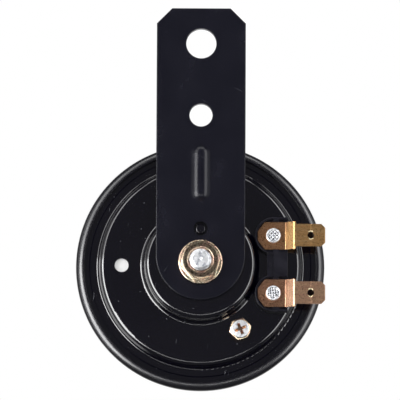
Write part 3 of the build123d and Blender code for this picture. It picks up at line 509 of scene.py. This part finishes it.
# The hexagon's foot: the hollow edges where its flats meet the flange, outside the bore.
foot = [e for e in nut.edges if e.is_manifold and not e.is_convex
        and e.calc_face_angle(0) > radians(SHARP_ABOVE) and NUT_FOOT_RADIUS < min(
            Vector((v.co.x, v.co.z)).length * 1000 for v in e.verts)]
bmesh.ops.bevel(nut, geom=foot, offset=NUT_FOOT_ROUND * 0.001, offset_type="OFFSET",
                affect="EDGES", segments=3, profile=0.5, material=-1, clamp_overlap=True)
nut = finished(place(nut, 0, -AXIS_DROP, NUT_TURN), "flange_nut_formed", ["flange_nut"])

yellow_zinc, tree, shader = new_finish("yellow passivated zinc on steel", Metallic=1.0)
surface = about(tree, HORN_AXIS)
# The passivate's thickness drifts over 2 to 3 mm, which turns gold to rose and to green.
drift = add(tree, "ShaderNodeTexNoise", {"Vector": surface, "Scale": 0.42, "Detail": 2.0})
rosy = add(tree, "ShaderNodeMapRange", {
    "Value": drift.outputs["Fac"], "From Min": 0.5, "From Max": 0.66, "To Max": 0.75})
greenish = add(tree, "ShaderNodeMapRange", {
    "Value": drift.outputs["Fac"], "From Min": 0.48, "From Max": 0.34, "To Max": 0.7})
film = add(tree, "ShaderNodeMix", {
    "Factor": rosy.outputs["Result"], "A": linear(GOLD), "B": linear(GOLD_ROSE)},
    data_type="RGBA")
film = add(tree, "ShaderNodeMix", {
    "Factor": greenish.outputs["Result"], "A": film.outputs["Result"],
    "B": linear(GOLD_GREEN)}, data_type="RGBA")
# A darker mottled ring on the rear face of the nut, between the mouth and the corners.
radius = add(tree, "ShaderNodeVectorMath", {
    0: about(tree, HORN_AXIS, grain=(1, 1e6, 1))}, operation="LENGTH")
inner = add(tree, "ShaderNodeMapRange", {
    "Value": radius.outputs["Value"], "From Min": NUT_MOUTH_RADIUS,
    "From Max": NUT_MOUTH_RADIUS + 0.35})
outer = add(tree, "ShaderNodeMapRange", {
    "Value": radius.outputs["Value"], "From Min": NUT_FACE_RADIUS + 0.35,
    "From Max": NUT_FACE_RADIUS})
level = add(tree, "ShaderNodeSeparateXYZ", {"Vector": surface})
rearmost = add(tree, "ShaderNodeMapRange", {
    "Value": level.outputs["Y"], "From Min": NUT_REAR + 0.5, "From Max": NUT_REAR + 0.1})
mottle = add(tree, "ShaderNodeTexNoise", {"Vector": surface, "Scale": 1.6, "Detail": 4.0})
spots = add(tree, "ShaderNodeMapRange", {
    "Value": mottle.outputs["Fac"], "From Min": 0.36, "From Max": 0.58, "To Min": 0.35})
band = add(tree, "ShaderNodeMath", {
    0: inner.outputs["Result"], 1: outer.outputs["Result"]}, operation="MULTIPLY")
band = add(tree, "ShaderNodeMath", {
    0: band.outputs["Value"], 1: rearmost.outputs["Result"]}, operation="MULTIPLY")
band = add(tree, "ShaderNodeMath", {
    0: band.outputs["Value"], 1: spots.outputs["Result"]}, operation="MULTIPLY")
colour = add(tree, "ShaderNodeMix", {
    "Factor": band.outputs["Value"], "A": film.outputs["Result"], "B": linear(NUT_DARK_RING)},
    data_type="RGBA")
gloss = add(tree, "ShaderNodeMapRange", {
    "Value": mottle.outputs["Fac"], "From Min": 0.3, "From Max": 0.7,
    "To Min": 0.16, "To Max": 0.3})
rough = add(tree, "ShaderNodeMath", {
    0: band.outputs["Value"], 1: 0.16, 2: gloss.outputs["Result"]}, operation="MULTIPLY_ADD")
skin = add(tree, "ShaderNodeBump", {
    "Height": mottle.outputs["Fac"], "Strength": 0.6, "Distance": 6e-5})
lay_on(tree, shader, colour.outputs["Result"], rough.outputs["Value"], skin.outputs["Normal"])
nut.data.materials.append(yellow_zinc)


# ---------------------------------------------------------------- Adjusting screw
# A small hexagon screw with a cross recess, also yellow passivated. It is turned from
# outside to set the note, and its crown is worn bright and greasy by screwdrivers.

SCREW_WIDTH = 5.5
SCREW_SHANK_RADIUS = 1.5
SCREW_PITCH = 0.5
SCREW_THREAD_DEPTH = 0.3
SCREW_HEX_REAR = 4.9
SCREW_HEX_FRONT = 7.2
SCREW_CHAMFER = 0.22
SCREW_CORNER_ROUND = 0.15
SCREW_CROWN_RADIUS = 2.5
SCREW_TURN = -15
RECESS_WIDTH = 0.85
RECESS_REACH = 1.75
RECESS_DEPTH = 1.4
RECESS_TAPER = 0.45
RECESS_TURN = 52
CROWN_WEAR = 0.25


def recess_wing(width, reach, rear, depth, taper, turn):
    """A flat wedge about Y, as one wing of the cross recess, narrowing inwards."""
    wing = bmesh.new()
    bmesh.ops.create_cube(wing, size=1.0)
    for vert in wing.verts:
        deep = vert.co.y > 0
        vert.co.x *= 2 * reach * 0.001 * (taper if deep else 1)
        vert.co.z *= width * 0.001 * (0.6 if deep else 1)
        vert.co.y = (rear + depth if deep else rear - 0.2) * 0.001
    bmesh.ops.rotate(wing, verts=wing.verts, cent=(0, 0, 0),
                     matrix=Matrix.Rotation(radians(turn), 3, "Y"))
    return wing


low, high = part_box("adjusting_screw")
screw_x = (low.x + high.x) * 500
screw_z = (low.z + high.z) * 500
crown_rear = low.y * 1000
tip = high.y * 1000
shank_root = SCREW_SHANK_RADIUS - SCREW_THREAD_DEPTH
clear = SCREW_WIDTH * PAST_THE_CORNERS
blank = turned([(0, crown_rear), (SCREW_CROWN_RADIUS, crown_rear),
                (SCREW_CROWN_RADIUS, SCREW_HEX_REAR), (clear, SCREW_HEX_REAR + SCREW_CHAMFER),
                (clear, SCREW_HEX_FRONT), (0, SCREW_HEX_FRONT)],
               [0, 0.32, 0.12, 0, 0, 0], steps=72)
head = hexagon(SCREW_WIDTH, crown_rear - 0.1, SCREW_HEX_FRONT, SCREW_CORNER_ROUND)
head = combined(head, blank, "INTERSECT")
for turn in (RECESS_TURN, RECESS_TURN + 90):
    wing = recess_wing(RECESS_WIDTH, RECESS_REACH, crown_rear, RECESS_DEPTH, RECESS_TAPER, turn)
    head = combined(head, wing, "DIFFERENCE")
shank = turned([(0, SCREW_HEX_FRONT - 0.5), (shank_root, SCREW_HEX_FRONT - 0.5),
                (shank_root, tip), (0, tip)], [0, 0, 0.25, 0], steps=48)
ridge = thread(SCREW_SHANK_RADIUS, shank_root, SCREW_PITCH, SCREW_HEX_FRONT + 0.25,
               tip - SCREW_HEX_FRONT - 0.8, steps_a_turn=32)
screw = combined(combined(head, shank, "UNION"), ridge, "UNION")
for face in screw.faces:
    face.material_index = int(face.calc_center_median().y * 1000 < crown_rear + CROWN_WEAR
                              and face.normal.y < -0.5)
screw = finished(place(screw, screw_x, screw_z, SCREW_TURN), "adjusting_screw_formed",
                 ["adjusting_screw"], "adjuster")
screw.data.materials.append(yellow_zinc)
screw.data.materials.append(bright_zinc)


# ---------------------------------------------------------------- Terminal block
# The blades sit on a moulded block of glass filled nylon, black and satin, with a raised
# lip round each blade's root. The tool's fine spark texture breaks up its shine.

NYLON_BLACK = "#0d0c14"
NYLON_GREY = "#1b1a24"
BLOCK_EDGE_BREAK = 0.00008

nylon, tree, shader = new_finish("moulded black nylon", IOR=1.53, Specular_IOR_Level=0.22)
texture = add(tree, "ShaderNodeTexNoise", {
    "Vector": about(tree, HORN_AXIS), "Scale": 4.0, "Detail": 3.0})
flow = add(tree, "ShaderNodeTexNoise", {
    "Vector": about(tree, HORN_AXIS, (0, 20, 0), (6, 3, 2)), "Scale": 1.0, "Detail": 2.0})
tone = add(tree, "ShaderNodeMapRange", {
    "Value": flow.outputs["Fac"], "From Min": 0.4, "From Max": 0.7, "To Max": 0.4})
colour = add(tree, "ShaderNodeMix", {
    "Factor": tone.outputs["Result"], "A": linear(NYLON_BLACK), "B": linear(NYLON_GREY)},
    data_type="RGBA")
rough = add(tree, "ShaderNodeMapRange", {
    "Value": flow.outputs["Fac"], "From Min": 0.3, "From Max": 0.7,
    "To Min": 0.3, "To Max": 0.42})
skin = add(tree, "ShaderNodeBump", {
    "Height": texture.outputs["Fac"], "Strength": 0.5, "Distance": 8e-6})
lay_on(tree, shader, colour.outputs["Result"], rough.outputs["Result"], skin.outputs["Normal"])

block = finished(break_edges(merged("terminal_block"), BLOCK_EDGE_BREAK),
                 "terminal_block_moulded", ["terminal_block"])
block.data.materials.append(nylon)


# ---------------------------------------------------------------- Blades
# Two 6.3 mm blades, stamped and bent from half hard brass strip and tumbled. Handling has
# dulled and speckled them, and heat has reddened their roots. The latch hole is countersunk.

LATCH_HOLE_X = 30.94
LATCH_HOLE_RADIUS = 0.95
LATCH_COUNTERSINK = 0.0003
BLADE_BREAK = 0.00018
ROOT_END = 24.3
BRASS_OLIVE = "#c69a66"
BRASS_PINK = "#c99e83"
BRASS_PALE = "#dcc49a"
BRASS_TARNISH = "#a1745a"
BRASS_SPECK = "#493322"
BRASS_CUT = "#fff0c8"

brass, tree, shader = new_finish("dulled rolled brass strip", Metallic=1.0)
surface = about(tree, HORN_AXIS)
where = add(tree, "ShaderNodeSeparateXYZ", {"Vector": surface})
upper = add(tree, "ShaderNodeMapRange", {
    "Value": where.outputs["Z"], "From Min": -2.0, "From Max": 2.0})
strip = add(tree, "ShaderNodeMix", {
    "Factor": upper.outputs["Result"], "A": linear(BRASS_PINK), "B": linear(BRASS_OLIVE)},
    data_type="RGBA")
# Rolling lines run along the strip, about 0.2 mm apart.
rolled = add(tree, "ShaderNodeTexNoise", {
    "Vector": about(tree, HORN_AXIS, grain=(7, 0.4, 0.25)), "Scale": 1.0, "Detail": 3.0})
pale = add(tree, "ShaderNodeMapRange", {
    "Value": rolled.outputs["Fac"], "From Min": 0.5, "From Max": 0.72, "To Max": 0.45})
strip = add(tree, "ShaderNodeMix", {
    "Factor": pale.outputs["Result"], "A": strip.outputs["Result"],
    "B": linear(BRASS_PALE)}, data_type="RGBA")
# Tarnish: the root, under the rivet, has gone red brown in clouds of about 2 mm.
cloud = add(tree, "ShaderNodeTexNoise", {"Vector": surface, "Scale": 0.5, "Detail": 4.0})
drawn = add(tree, "ShaderNodeMath", {
    0: cloud.outputs["Fac"], 1: 4.0, 2: -2.0}, operation="MULTIPLY_ADD")
reach = add(tree, "ShaderNodeMath", {
    0: where.outputs["X"], 1: drawn.outputs["Value"]}, operation="ADD")
root = add(tree, "ShaderNodeMapRange", {
    "Value": reach.outputs["Value"], "From Min": ROOT_END + 0.4, "From Max": ROOT_END - 0.8,
    "To Max": 0.75})
strip = add(tree, "ShaderNodeMix", {
    "Factor": root.outputs["Result"], "A": strip.outputs["Result"],
    "B": linear(BRASS_TARNISH)}, data_type="RGBA")
# Specks: tarnish spots a fifth of a millimetre across.
spots = add(tree, "ShaderNodeTexNoise", {"Vector": surface, "Scale": 3.4, "Detail": 2.0})
speck = add(tree, "ShaderNodeMapRange", {
    "Value": spots.outputs["Fac"], "From Min": 0.56, "From Max": 0.68, "To Max": 0.7})
colour = add(tree, "ShaderNodeMix", {
    "Factor": speck.outputs["Result"], "A": strip.outputs["Result"],
    "B": linear(BRASS_SPECK)}, data_type="RGBA")
dulled = add(tree, "ShaderNodeMapRange", {
    "Value": spots.outputs["Fac"], "From Min": 0.35, "From Max": 0.65,
    "To Min": 0.26, "To Max": 0.44})
# A faint coined line crosses the blade through its latch hole.
across = add(tree, "ShaderNodeMath", {
    0: where.outputs["X"], 1: LATCH_HOLE_X, 2: 0.1}, operation="COMPARE")
height = add(tree, "ShaderNodeMath", {
    0: across.outputs["Value"], 1: -0.6, 2: spots.outputs["Fac"]}, operation="MULTIPLY_ADD")
skin = add(tree, "ShaderNodeBump", {
    "Height": height.outputs["Value"], "Strength": 0.6, "Distance": 2e-5})
lay_on(tree, shader, colour.outputs["Result"], dulled.outputs["Result"], skin.outputs["Normal"])

fresh_cut, tree, shader = new_finish("brass cut by the countersink", Metallic=1.0,
                                     Roughness=0.5)
chatter = add(tree, "ShaderNodeTexNoise", {
    "Vector": about(tree, HORN_AXIS), "Scale": 5.0, "Detail": 2.0})
tone = add(tree, "ShaderNodeMapRange", {
    "Value": chatter.outputs["Fac"], "From Min": 0.55, "From Max": 0.75, "To Max": 0.6})
colour = add(tree, "ShaderNodeMix", {
    "Factor": tone.outputs["Result"], "A": linear(BRASS_CUT), "B": linear(BRASS_OLIVE)},
    data_type="RGBA")
lay_on(tree, shader, colour.outputs["Result"])

for node in ("terminal_upper", "terminal_lower"):
    low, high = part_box(node)
    eye = Vector((LATCH_HOLE_X * 0.001, (low.z + high.z) / 2))
    body = merged(node)
    hole_rim = [e for e in body.edges if all(
        abs((Vector((v.co.x, v.co.z)) - eye).length - LATCH_HOLE_RADIUS * 0.001) < 2e-5
        for v in e.verts)]
    bmesh.ops.bevel(body, geom=hole_rim, offset=LATCH_COUNTERSINK, offset_type="OFFSET",
                    affect="EDGES", segments=3, profile=0.5, material=1)
    break_edges(body, BLADE_BREAK)
    blade = finished(body, node + "_blade", [node])
    blade.data.materials.append(brass)
    blade.data.materials.append(fresh_cut)
coat(["coil_lug"], brass)


# ---------------------------------------------------------------- Rivets
# Steel rivets hold blades, block and housing together. They are bright zinc plated, and the
# knurled punch that sets them leaves rows of small square pits on their heads.

PIT_PITCH = 0.72
PIT_RIM = 0.09
PIT_DEPTH = 0.16
PIT_SLOPE = 0.6
PIT_LEAST = 0.3
PIT_ROWS = range(-3, 3)
PIT_SHADE_DARK = "#141418"
PIT_SHADE_GREY = "#77787e"
RIVET_TURNS = {"rivet_upper": 45, "rivet_lower": 8}

# The pits take a dark grey finish: painted shade in the hollows of the punch marks.
pit_painted_shade, tree, shader = new_finish("painted shade in the punch marks", IOR=1.47, Roughness=0.35)
thick = add(tree, "ShaderNodeTexNoise", {
    "Vector": about(tree, HORN_AXIS), "Scale": 1.1, "Detail": 2.0})
tone = add(tree, "ShaderNodeMapRange", {
    "Value": thick.outputs["Fac"], "From Min": 0.4, "From Max": 0.62})
colour = add(tree, "ShaderNodeMix", {
    "Factor": tone.outputs["Result"], "A": linear(PIT_SHADE_DARK), "B": linear(PIT_SHADE_GREY)},
    data_type="RGBA")
lay_on(tree, shader, colour.outputs["Result"])


def head_face(body, rear):
    """The faces of a rivet's flat rear end, which lies at a level in metres."""
    return [f for f in body.faces
            if f.normal.y < -0.99 and abs(f.verts[0].co.y - rear) < 1e-6]


for node, slant in RIVET_TURNS.items():
    body = merged(node)
    low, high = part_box(node)
    centre = Vector(((low.x + high.x) / 2, low.y, (low.z + high.z) / 2))
    for turn in (slant, slant + 90):
        across = Vector((cos(radians(turn)), 0, sin(radians(turn))))
        for row in PIT_ROWS:
            flat = head_face(body, low.y)
            edges = list({e for f in flat for e in f.edges})
            corners = list({v for f in flat for v in f.verts})
            bmesh.ops.bisect_plane(body, geom=flat + edges + corners, dist=1e-7,
                                   plane_co=centre + across * (row + 0.5) * PIT_PITCH * 0.001,
                                   plane_no=across)
    # Slivers at the head's edge take no pit.
    cells = [f for f in head_face(body, low.y)
             if f.calc_area() > PIT_LEAST * (PIT_PITCH * 0.001) ** 2]
    bmesh.ops.inset_individual(body, faces=cells, thickness=PIT_RIM * 0.001, depth=0)
    bmesh.ops.inset_individual(body, faces=cells, thickness=PIT_RIM * PIT_SLOPE * 0.001,
                               depth=-PIT_DEPTH * 0.001)
    # Each pit gets the painted shade finish.
    for face in cells:
        face.material_index = 1
    rivet = finished(body, node + "_set", [node])
    rivet.data.materials.append(bright_zinc)
    rivet.data.materials.append(pit_painted_shade)


# ---------------------------------------------------------------- Armature and contact arm
# The armature is turned from soft iron, and so are the spacer, washer and nut that clamp it
# to the diaphragm. They are bare but oiled, with fine turning marks and grey oxide patches.

IRON_BRIGHT = "#aeb0b4"
IRON_OXIDE = "#6c6a68"


def sheet_metal(name, bright, dull, patch, gloss, lay, depth):
    """A bare metal in two tones: patches of a size, marks of a lay and depth, all in mm."""
    metal, tree, shader = new_finish(name, Metallic=1.0)
    stain = add(tree, "ShaderNodeTexNoise", {
        "Vector": about(tree, HORN_AXIS), "Scale": 1 / patch, "Detail": 4.0})
    marks = add(tree, "ShaderNodeTexNoise", {
        "Vector": about(tree, HORN_AXIS, grain=lay), "Scale": 1.0, "Detail": 2.0})
    both = add(tree, "ShaderNodeMath", {
        0: marks.outputs["Fac"], 1: 0.4, 2: stain.outputs["Fac"]}, operation="MULTIPLY_ADD")
    tone = add(tree, "ShaderNodeMapRange", {
        "Value": both.outputs["Value"], "From Min": 0.6, "From Max": 0.85})
    colour = add(tree, "ShaderNodeMix", {
        "Factor": tone.outputs["Result"], "A": linear(bright), "B": linear(dull)},
        data_type="RGBA")
    rough = add(tree, "ShaderNodeMapRange", {
        "Value": both.outputs["Value"], "From Min": 0.5, "From Max": 0.9,
        "To Min": gloss[0], "To Max": gloss[1]})
    skin = add(tree, "ShaderNodeBump", {
        "Height": marks.outputs["Fac"], "Strength": 0.5, "Distance": depth * 0.001})
    lay_on(tree, shader, colour.outputs["Result"], rough.outputs["Result"], skin.outputs["Normal"])
    return metal


turned_iron = sheet_metal("oiled turned iron", IRON_BRIGHT, IRON_OXIDE, 3.0, (0.28, 0.45),
                          (2.0, 0.15, 2.0), 0.01)
coat(["armature", "spacer_washer", "lock_washer", "centre_nut", "contact_arm"], turned_iron)


# ---------------------------------------------------------------- Diaphragm and coil retainer
# The diaphragm is a disc of cold rolled spring steel, and the retainer that holds the coil
# in the hub is cut from the same stock. Rolling leaves one straight grain and a blue cast.

SPRING_BRIGHT = "#9fa3aa"
SPRING_BLUED = "#626872"

spring_steel = sheet_metal("cold rolled spring steel", SPRING_BRIGHT, SPRING_BLUED, 7.0,
                           (0.24, 0.36), (9.0, 9.0, 0.12), 0.004)
coat(["diaphragm", "coil_retainer"], spring_steel)


# ---------------------------------------------------------------- Tone disc
# A dished steel pressing on the armature's stud, which rings with the note. It is bright
# zinc plated in a barrel, so it is even, slightly milky and marked all over by its fellows.

DISC_BRIGHT = "#c9ccd1"
DISC_MILKY = "#9b9fa6"

barrel_zinc = sheet_metal("barrel zinc plate on pressed steel", DISC_BRIGHT, DISC_MILKY, 5.0,
                          (0.26, 0.4), (1.1, 1.1, 1.1), 0.012)
coat(["tone_disc"], barrel_zinc)


# ---------------------------------------------------------------- Gaskets and insulators
# Rings and plates punched from hard vulcanised fibre board: they seal the diaphragm and
# keep the live parts off the steel. It is a dull grey brown with matted fibres.

FIBRE_BROWN = "#6b5748"
FIBRE_PALE = "#8a7763"

fibre_board, tree, shader = new_finish("grey brown vulcanised fibre", IOR=1.55)
mat = add(tree, "ShaderNodeTexNoise", {
    "Vector": about(tree, HORN_AXIS, (0, 30, 0), (1.6, 0.3, 0.25)), "Scale": 1.0,
    "Detail": 4.0})
mat_across = add(tree, "ShaderNodeTexNoise", {
    "Vector": about(tree, HORN_AXIS, (0, -48, 0), (1.3, 0.3, 0.22)), "Scale": 1.0,
    "Detail": 4.0})
felted = add(tree, "ShaderNodeMath", {
    0: mat.outputs["Fac"], 1: mat_across.outputs["Fac"]}, operation="MAXIMUM")
tone = add(tree, "ShaderNodeMapRange", {
    "Value": felted.outputs["Value"], "From Min": 0.45, "From Max": 0.68})
colour = add(tree, "ShaderNodeMix", {
    "Factor": tone.outputs["Result"], "A": linear(FIBRE_BROWN), "B": linear(FIBRE_PALE)},
    data_type="RGBA")
rough = add(tree, "ShaderNodeMapRange", {
    "Value": felted.outputs["Value"], "From Min": 0.4, "From Max": 0.7,
    "To Min": 0.72, "To Max": 0.55})
skin = add(tree, "ShaderNodeBump", {
    "Height": felted.outputs["Value"], "Strength": 0.5, "Distance": 2e-5})
lay_on(tree, shader, colour.outputs["Result"], rough.outputs["Result"], skin.outputs["Normal"])
coat(["rear_gasket", "front_gasket", "coil_washer", "insulator_plate", "insulator_spacer"],
     fibre_board)


# ---------------------------------------------------------------- Coil
# A reel moulded in natural nylon, wound full of enamelled copper wire whose two ends come
# out through notches. The winding shows as close even turns under clear amber enamel.

REEL_CREAM = "#cdc4a8"
REEL_AMBER = "#b5a985"
COPPER_CREST_HIGHLIGHT = "#c9713c"
COPPER_GROOVE_SHADE = "#7d3a1e"
TURN_PITCH = 0.7

reel, tree, shader = new_finish("natural moulded nylon", IOR=1.53, Subsurface_Weight=0.1)
shader.inputs["Subsurface Radius"].default_value = (0.8e-3, 0.5e-3, 0.3e-3)
flow = add(tree, "ShaderNodeTexNoise", {
    "Vector": about(tree, HORN_AXIS), "Scale": 0.35, "Detail": 3.0})
tone = add(tree, "ShaderNodeMapRange", {
    "Value": flow.outputs["Fac"], "From Min": 0.4, "From Max": 0.68})
colour = add(tree, "ShaderNodeMix", {
    "Factor": tone.outputs["Result"], "A": linear(REEL_CREAM), "B": linear(REEL_AMBER)},
    data_type="RGBA")
rough = add(tree, "ShaderNodeMapRange", {
    "Value": flow.outputs["Fac"], "From Min": 0.3, "From Max": 0.7,
    "To Min": 0.34, "To Max": 0.48})
lay_on(tree, shader, colour.outputs["Result"], rough.outputs["Result"])
coat(["coil_bobbin"], reel)

copper, tree, shader = new_finish("enamelled copper wire", Metallic=1.0, Coat_Weight=0.8,
                                  Coat_Roughness=0.08)
# The turns, at the wire's pitch along the coil: painted shade in a groove, painted highlight on a
# crest.
turns = add(tree, "ShaderNodeTexWave", {
    "Vector": about(tree, HORN_AXIS, grain=[TURN_PITCH * 10 / pi] * 3), "Scale": 1.0,
    "Distortion": 0.3}, wave_type="BANDS", bands_direction="Y", wave_profile="SIN")
varied = add(tree, "ShaderNodeTexNoise", {
    "Vector": about(tree, HORN_AXIS), "Scale": 0.8, "Detail": 3.0})
shade = add(tree, "ShaderNodeMath", {
    0: turns.outputs["Fac"], 1: varied.outputs["Fac"]}, operation="MULTIPLY")
tone = add(tree, "ShaderNodeMapRange", {
    "Value": shade.outputs["Value"], "From Min": 0.05, "From Max": 0.4})
colour = add(tree, "ShaderNodeMix", {
    "Factor": tone.outputs["Result"], "A": linear(COPPER_GROOVE_SHADE), "B": linear(COPPER_CREST_HIGHLIGHT)},
    data_type="RGBA")
rough = add(tree, "ShaderNodeMapRange", {
    "Value": varied.outputs["Fac"], "From Min": 0.3, "From Max": 0.7,
    "To Min": 0.22, "To Max": 0.34})
skin = add(tree, "ShaderNodeBump", {
    "Height": turns.outputs["Fac"], "Strength": 0.8, "Distance": 1.5e-4})
lay_on(tree, shader, colour.outputs["Result"], rough.outputs["Result"], skin.outputs["Normal"])
coat(["coil_winding", "coil_lead_start", "coil_lead_end"], copper)


# ---------------------------------------------------------------- Contact breaker
# The leaf is phosphor bronze strip, rolled hard and springy. The contact buttons are
# sintered tungsten, dark grey and finely pitted by the spark between them.

BRONZE_BRIGHT = "#c58f5c"
BRONZE_BROWN = "#8b5a37"
TUNGSTEN_GREY = "#85858a"
TUNGSTEN_BURNT = "#4c4a4b"

bronze = sheet_metal("rolled phosphor bronze", BRONZE_BRIGHT, BRONZE_BROWN, 3.5,
                     (0.24, 0.38), (6.0, 0.3, 0.15), 0.004)
coat(["contact_leaf"], bronze)

tungsten = sheet_metal("sintered tungsten", TUNGSTEN_GREY, TUNGSTEN_BURNT, 0.9,
                       (0.34, 0.55), (0.25, 0.25, 0.25), 0.02)
coat(["moving_contact", "fixed_contact"], tungsten)


# ---------------------------------------------------------------- Studio
# The horn hangs by its bracket in a white room, well above a floor of pale paper. A narrow
# soft box stands on each side, a broad one above, and a fill lamp behind the camera. The
# room is dim in gloss on the camera's side.

TARGET = Vector((-0.00018, 0.0, -0.0444))
FLOOR_DROP = 0.8
FLOOR_REACH = 3.0
FLOOR_PALE = "#e6e6e6"
FLOOR_SHOWN = 0.6
ROOM_FILL = 0.25
ROOM_DIM_GLOSS = 0.1

sheet = bmesh.new()
bmesh.ops.create_grid(sheet, x_segments=1, y_segments=1, size=FLOOR_REACH)
bmesh.ops.translate(sheet, verts=sheet.verts, vec=(0, 0, -FLOOR_DROP))
floor = bpy.data.objects.new("studio_floor", bpy.data.meshes.new("studio_floor"))
sheet.to_mesh(floor.data)
sheet.free()
bpy.context.collection.objects.link(floor)
paper, tree, shader = new_finish("pale floor paper", Roughness=0.8)
shader.inputs["Base Color"].default_value = linear(FLOOR_PALE)
shader.inputs["Emission Color"].default_value = (1, 1, 1, 1)
# The paper glows to the camera alone, so that it looks pale and throws no light on the horn.
ray = add(tree, "ShaderNodeLightPath")
shown = add(tree, "ShaderNodeMath", {
    0: ray.outputs["Is Camera Ray"], 1: FLOOR_SHOWN}, operation="MULTIPLY")
tree.links.new(shown.outputs["Value"], shader.inputs["Emission Strength"])
floor.data.materials.append(paper)
floor.visible_glossy = False

world = bpy.data.worlds.new("white room")
bpy.context.scene.world = world
world.use_nodes = True
tree = world.node_tree
sky = tree.nodes["Background"]
sky.inputs["Color"].default_value = (1, 1, 1, 1)
ray = add(tree, "ShaderNodeLightPath")
toward = add(tree, "ShaderNodeTexCoord")
heading = add(tree, "ShaderNodeSeparateXYZ", {"Vector": toward.outputs["Generated"]})
# Gloss sees white behind the horn, fading to dim where the camera stands.
behind = add(tree, "ShaderNodeMapRange", {
    "Value": heading.outputs["Y"], "From Min": 0.6, "From Max": 0.95,
    "To Min": ROOM_DIM_GLOSS, "To Max": 1.0}, interpolation_type="SMOOTHSTEP")
gloss = add(tree, "ShaderNodeMix", {
    "Factor": ray.outputs["Is Glossy Ray"], "A": ROOM_FILL, "B": behind.outputs["Result"]},
    data_type="FLOAT")
seen = add(tree, "ShaderNodeMath", {
    0: ray.outputs["Is Camera Ray"], 1: ray.outputs["Is Transmission Ray"]},
    operation="MAXIMUM")
shown = add(tree, "ShaderNodeMix", {
    "Factor": seen.outputs["Value"], "A": gloss.outputs["Result"], "B": 1.0},
    data_type="FLOAT")
tree.links.new(shown.outputs["Result"], sky.inputs["Strength"])


def soft_box(name, bearing, slant, distance, width, height, brightness, **seen_by):
    """A soft lamp facing the horn: bearing round the horn's axis from its right, slant off
    that axis, and brightness against white paper."""
    light = bpy.data.lights.new(name, "AREA")
    light.shape = "RECTANGLE"
    light.size = width
    light.size_y = height
    light.energy = brightness * pi * width * height
    made = bpy.data.objects.new(name, light)
    away = Vector((sin(radians(slant)) * cos(radians(bearing)), -cos(radians(slant)),
                   sin(radians(slant)) * sin(radians(bearing))))
    made.location = TARGET + distance * away
    made.rotation_euler = (-away).to_track_quat("-Z", "Y").to_euler()
    made.visible_camera = False
    for kind, seen in seen_by.items():
        setattr(made, "visible_" + kind, seen)
    bpy.context.collection.objects.link(made)


soft_box("left_soft_box", 190, 55, 0.8, 0.35, 0.9, 2.6, glossy=False)
soft_box("right_soft_box", -10, 55, 0.8, 0.35, 0.9, 1.6, glossy=False)
soft_box("top_soft_box", 90, 65, 0.9, 0.9, 0.3, 3.0)
soft_box("front_fill", 90, 8, 1.6, 0.6, 0.6, 11.0, glossy=False)
# Cards that only gloss sees: they draw the long bright lines along the pressed bends.
soft_box("left_low_card", 200, 48, 0.45, 0.24, 0.37, 10.5, diffuse=False)
soft_box("left_high_card", 148, 50, 0.5, 0.22, 0.4, 3.5, diffuse=False)
soft_box("left_side_card", 185, 82, 0.5, 0.3, 0.8, 0.6, diffuse=False)
soft_box("right_card", 6, 50, 0.5, 0.22, 0.85, 4.0, diffuse=False)
soft_box("right_side_card", 0, 82, 0.5, 0.3, 0.8, 0.6, diffuse=False)
soft_box("low_card", 270, 30, 0.8, 0.6, 0.045, 8.5, diffuse=False)

# The camera looks at the horn's rear from a little below.
CAMERA_DISTANCE = 1.3
CAMERA_ELEVATION = -7.7
CAMERA_AZIMUTH = -0.19
CAMERA_ROLL = 0.26
VIEW_WIDTH = 0.11189
FILM_WIDTH = 36

camera = bpy.data.objects.new("camera", bpy.data.cameras.new("camera"))
camera.data.sensor_width = FILM_WIDTH
camera.data.lens = FILM_WIDTH * CAMERA_DISTANCE / VIEW_WIDTH
camera.data.clip_end = 20
rise = radians(CAMERA_ELEVATION)
round_axis = radians(CAMERA_AZIMUTH)
camera.location = TARGET + CAMERA_DISTANCE * Vector(
    (sin(round_axis) * cos(rise), -cos(round_axis) * cos(rise), sin(rise)))
facing = (TARGET - camera.location).to_track_quat("-Z", "Y").to_matrix()
camera.rotation_euler = (facing @ Matrix.Rotation(radians(CAMERA_ROLL), 3, "Z")).to_euler()
bpy.context.collection.objects.link(camera)
bpy.context.scene.camera = camera
bpy.context.scene.view_settings.view_transform = "Standard"
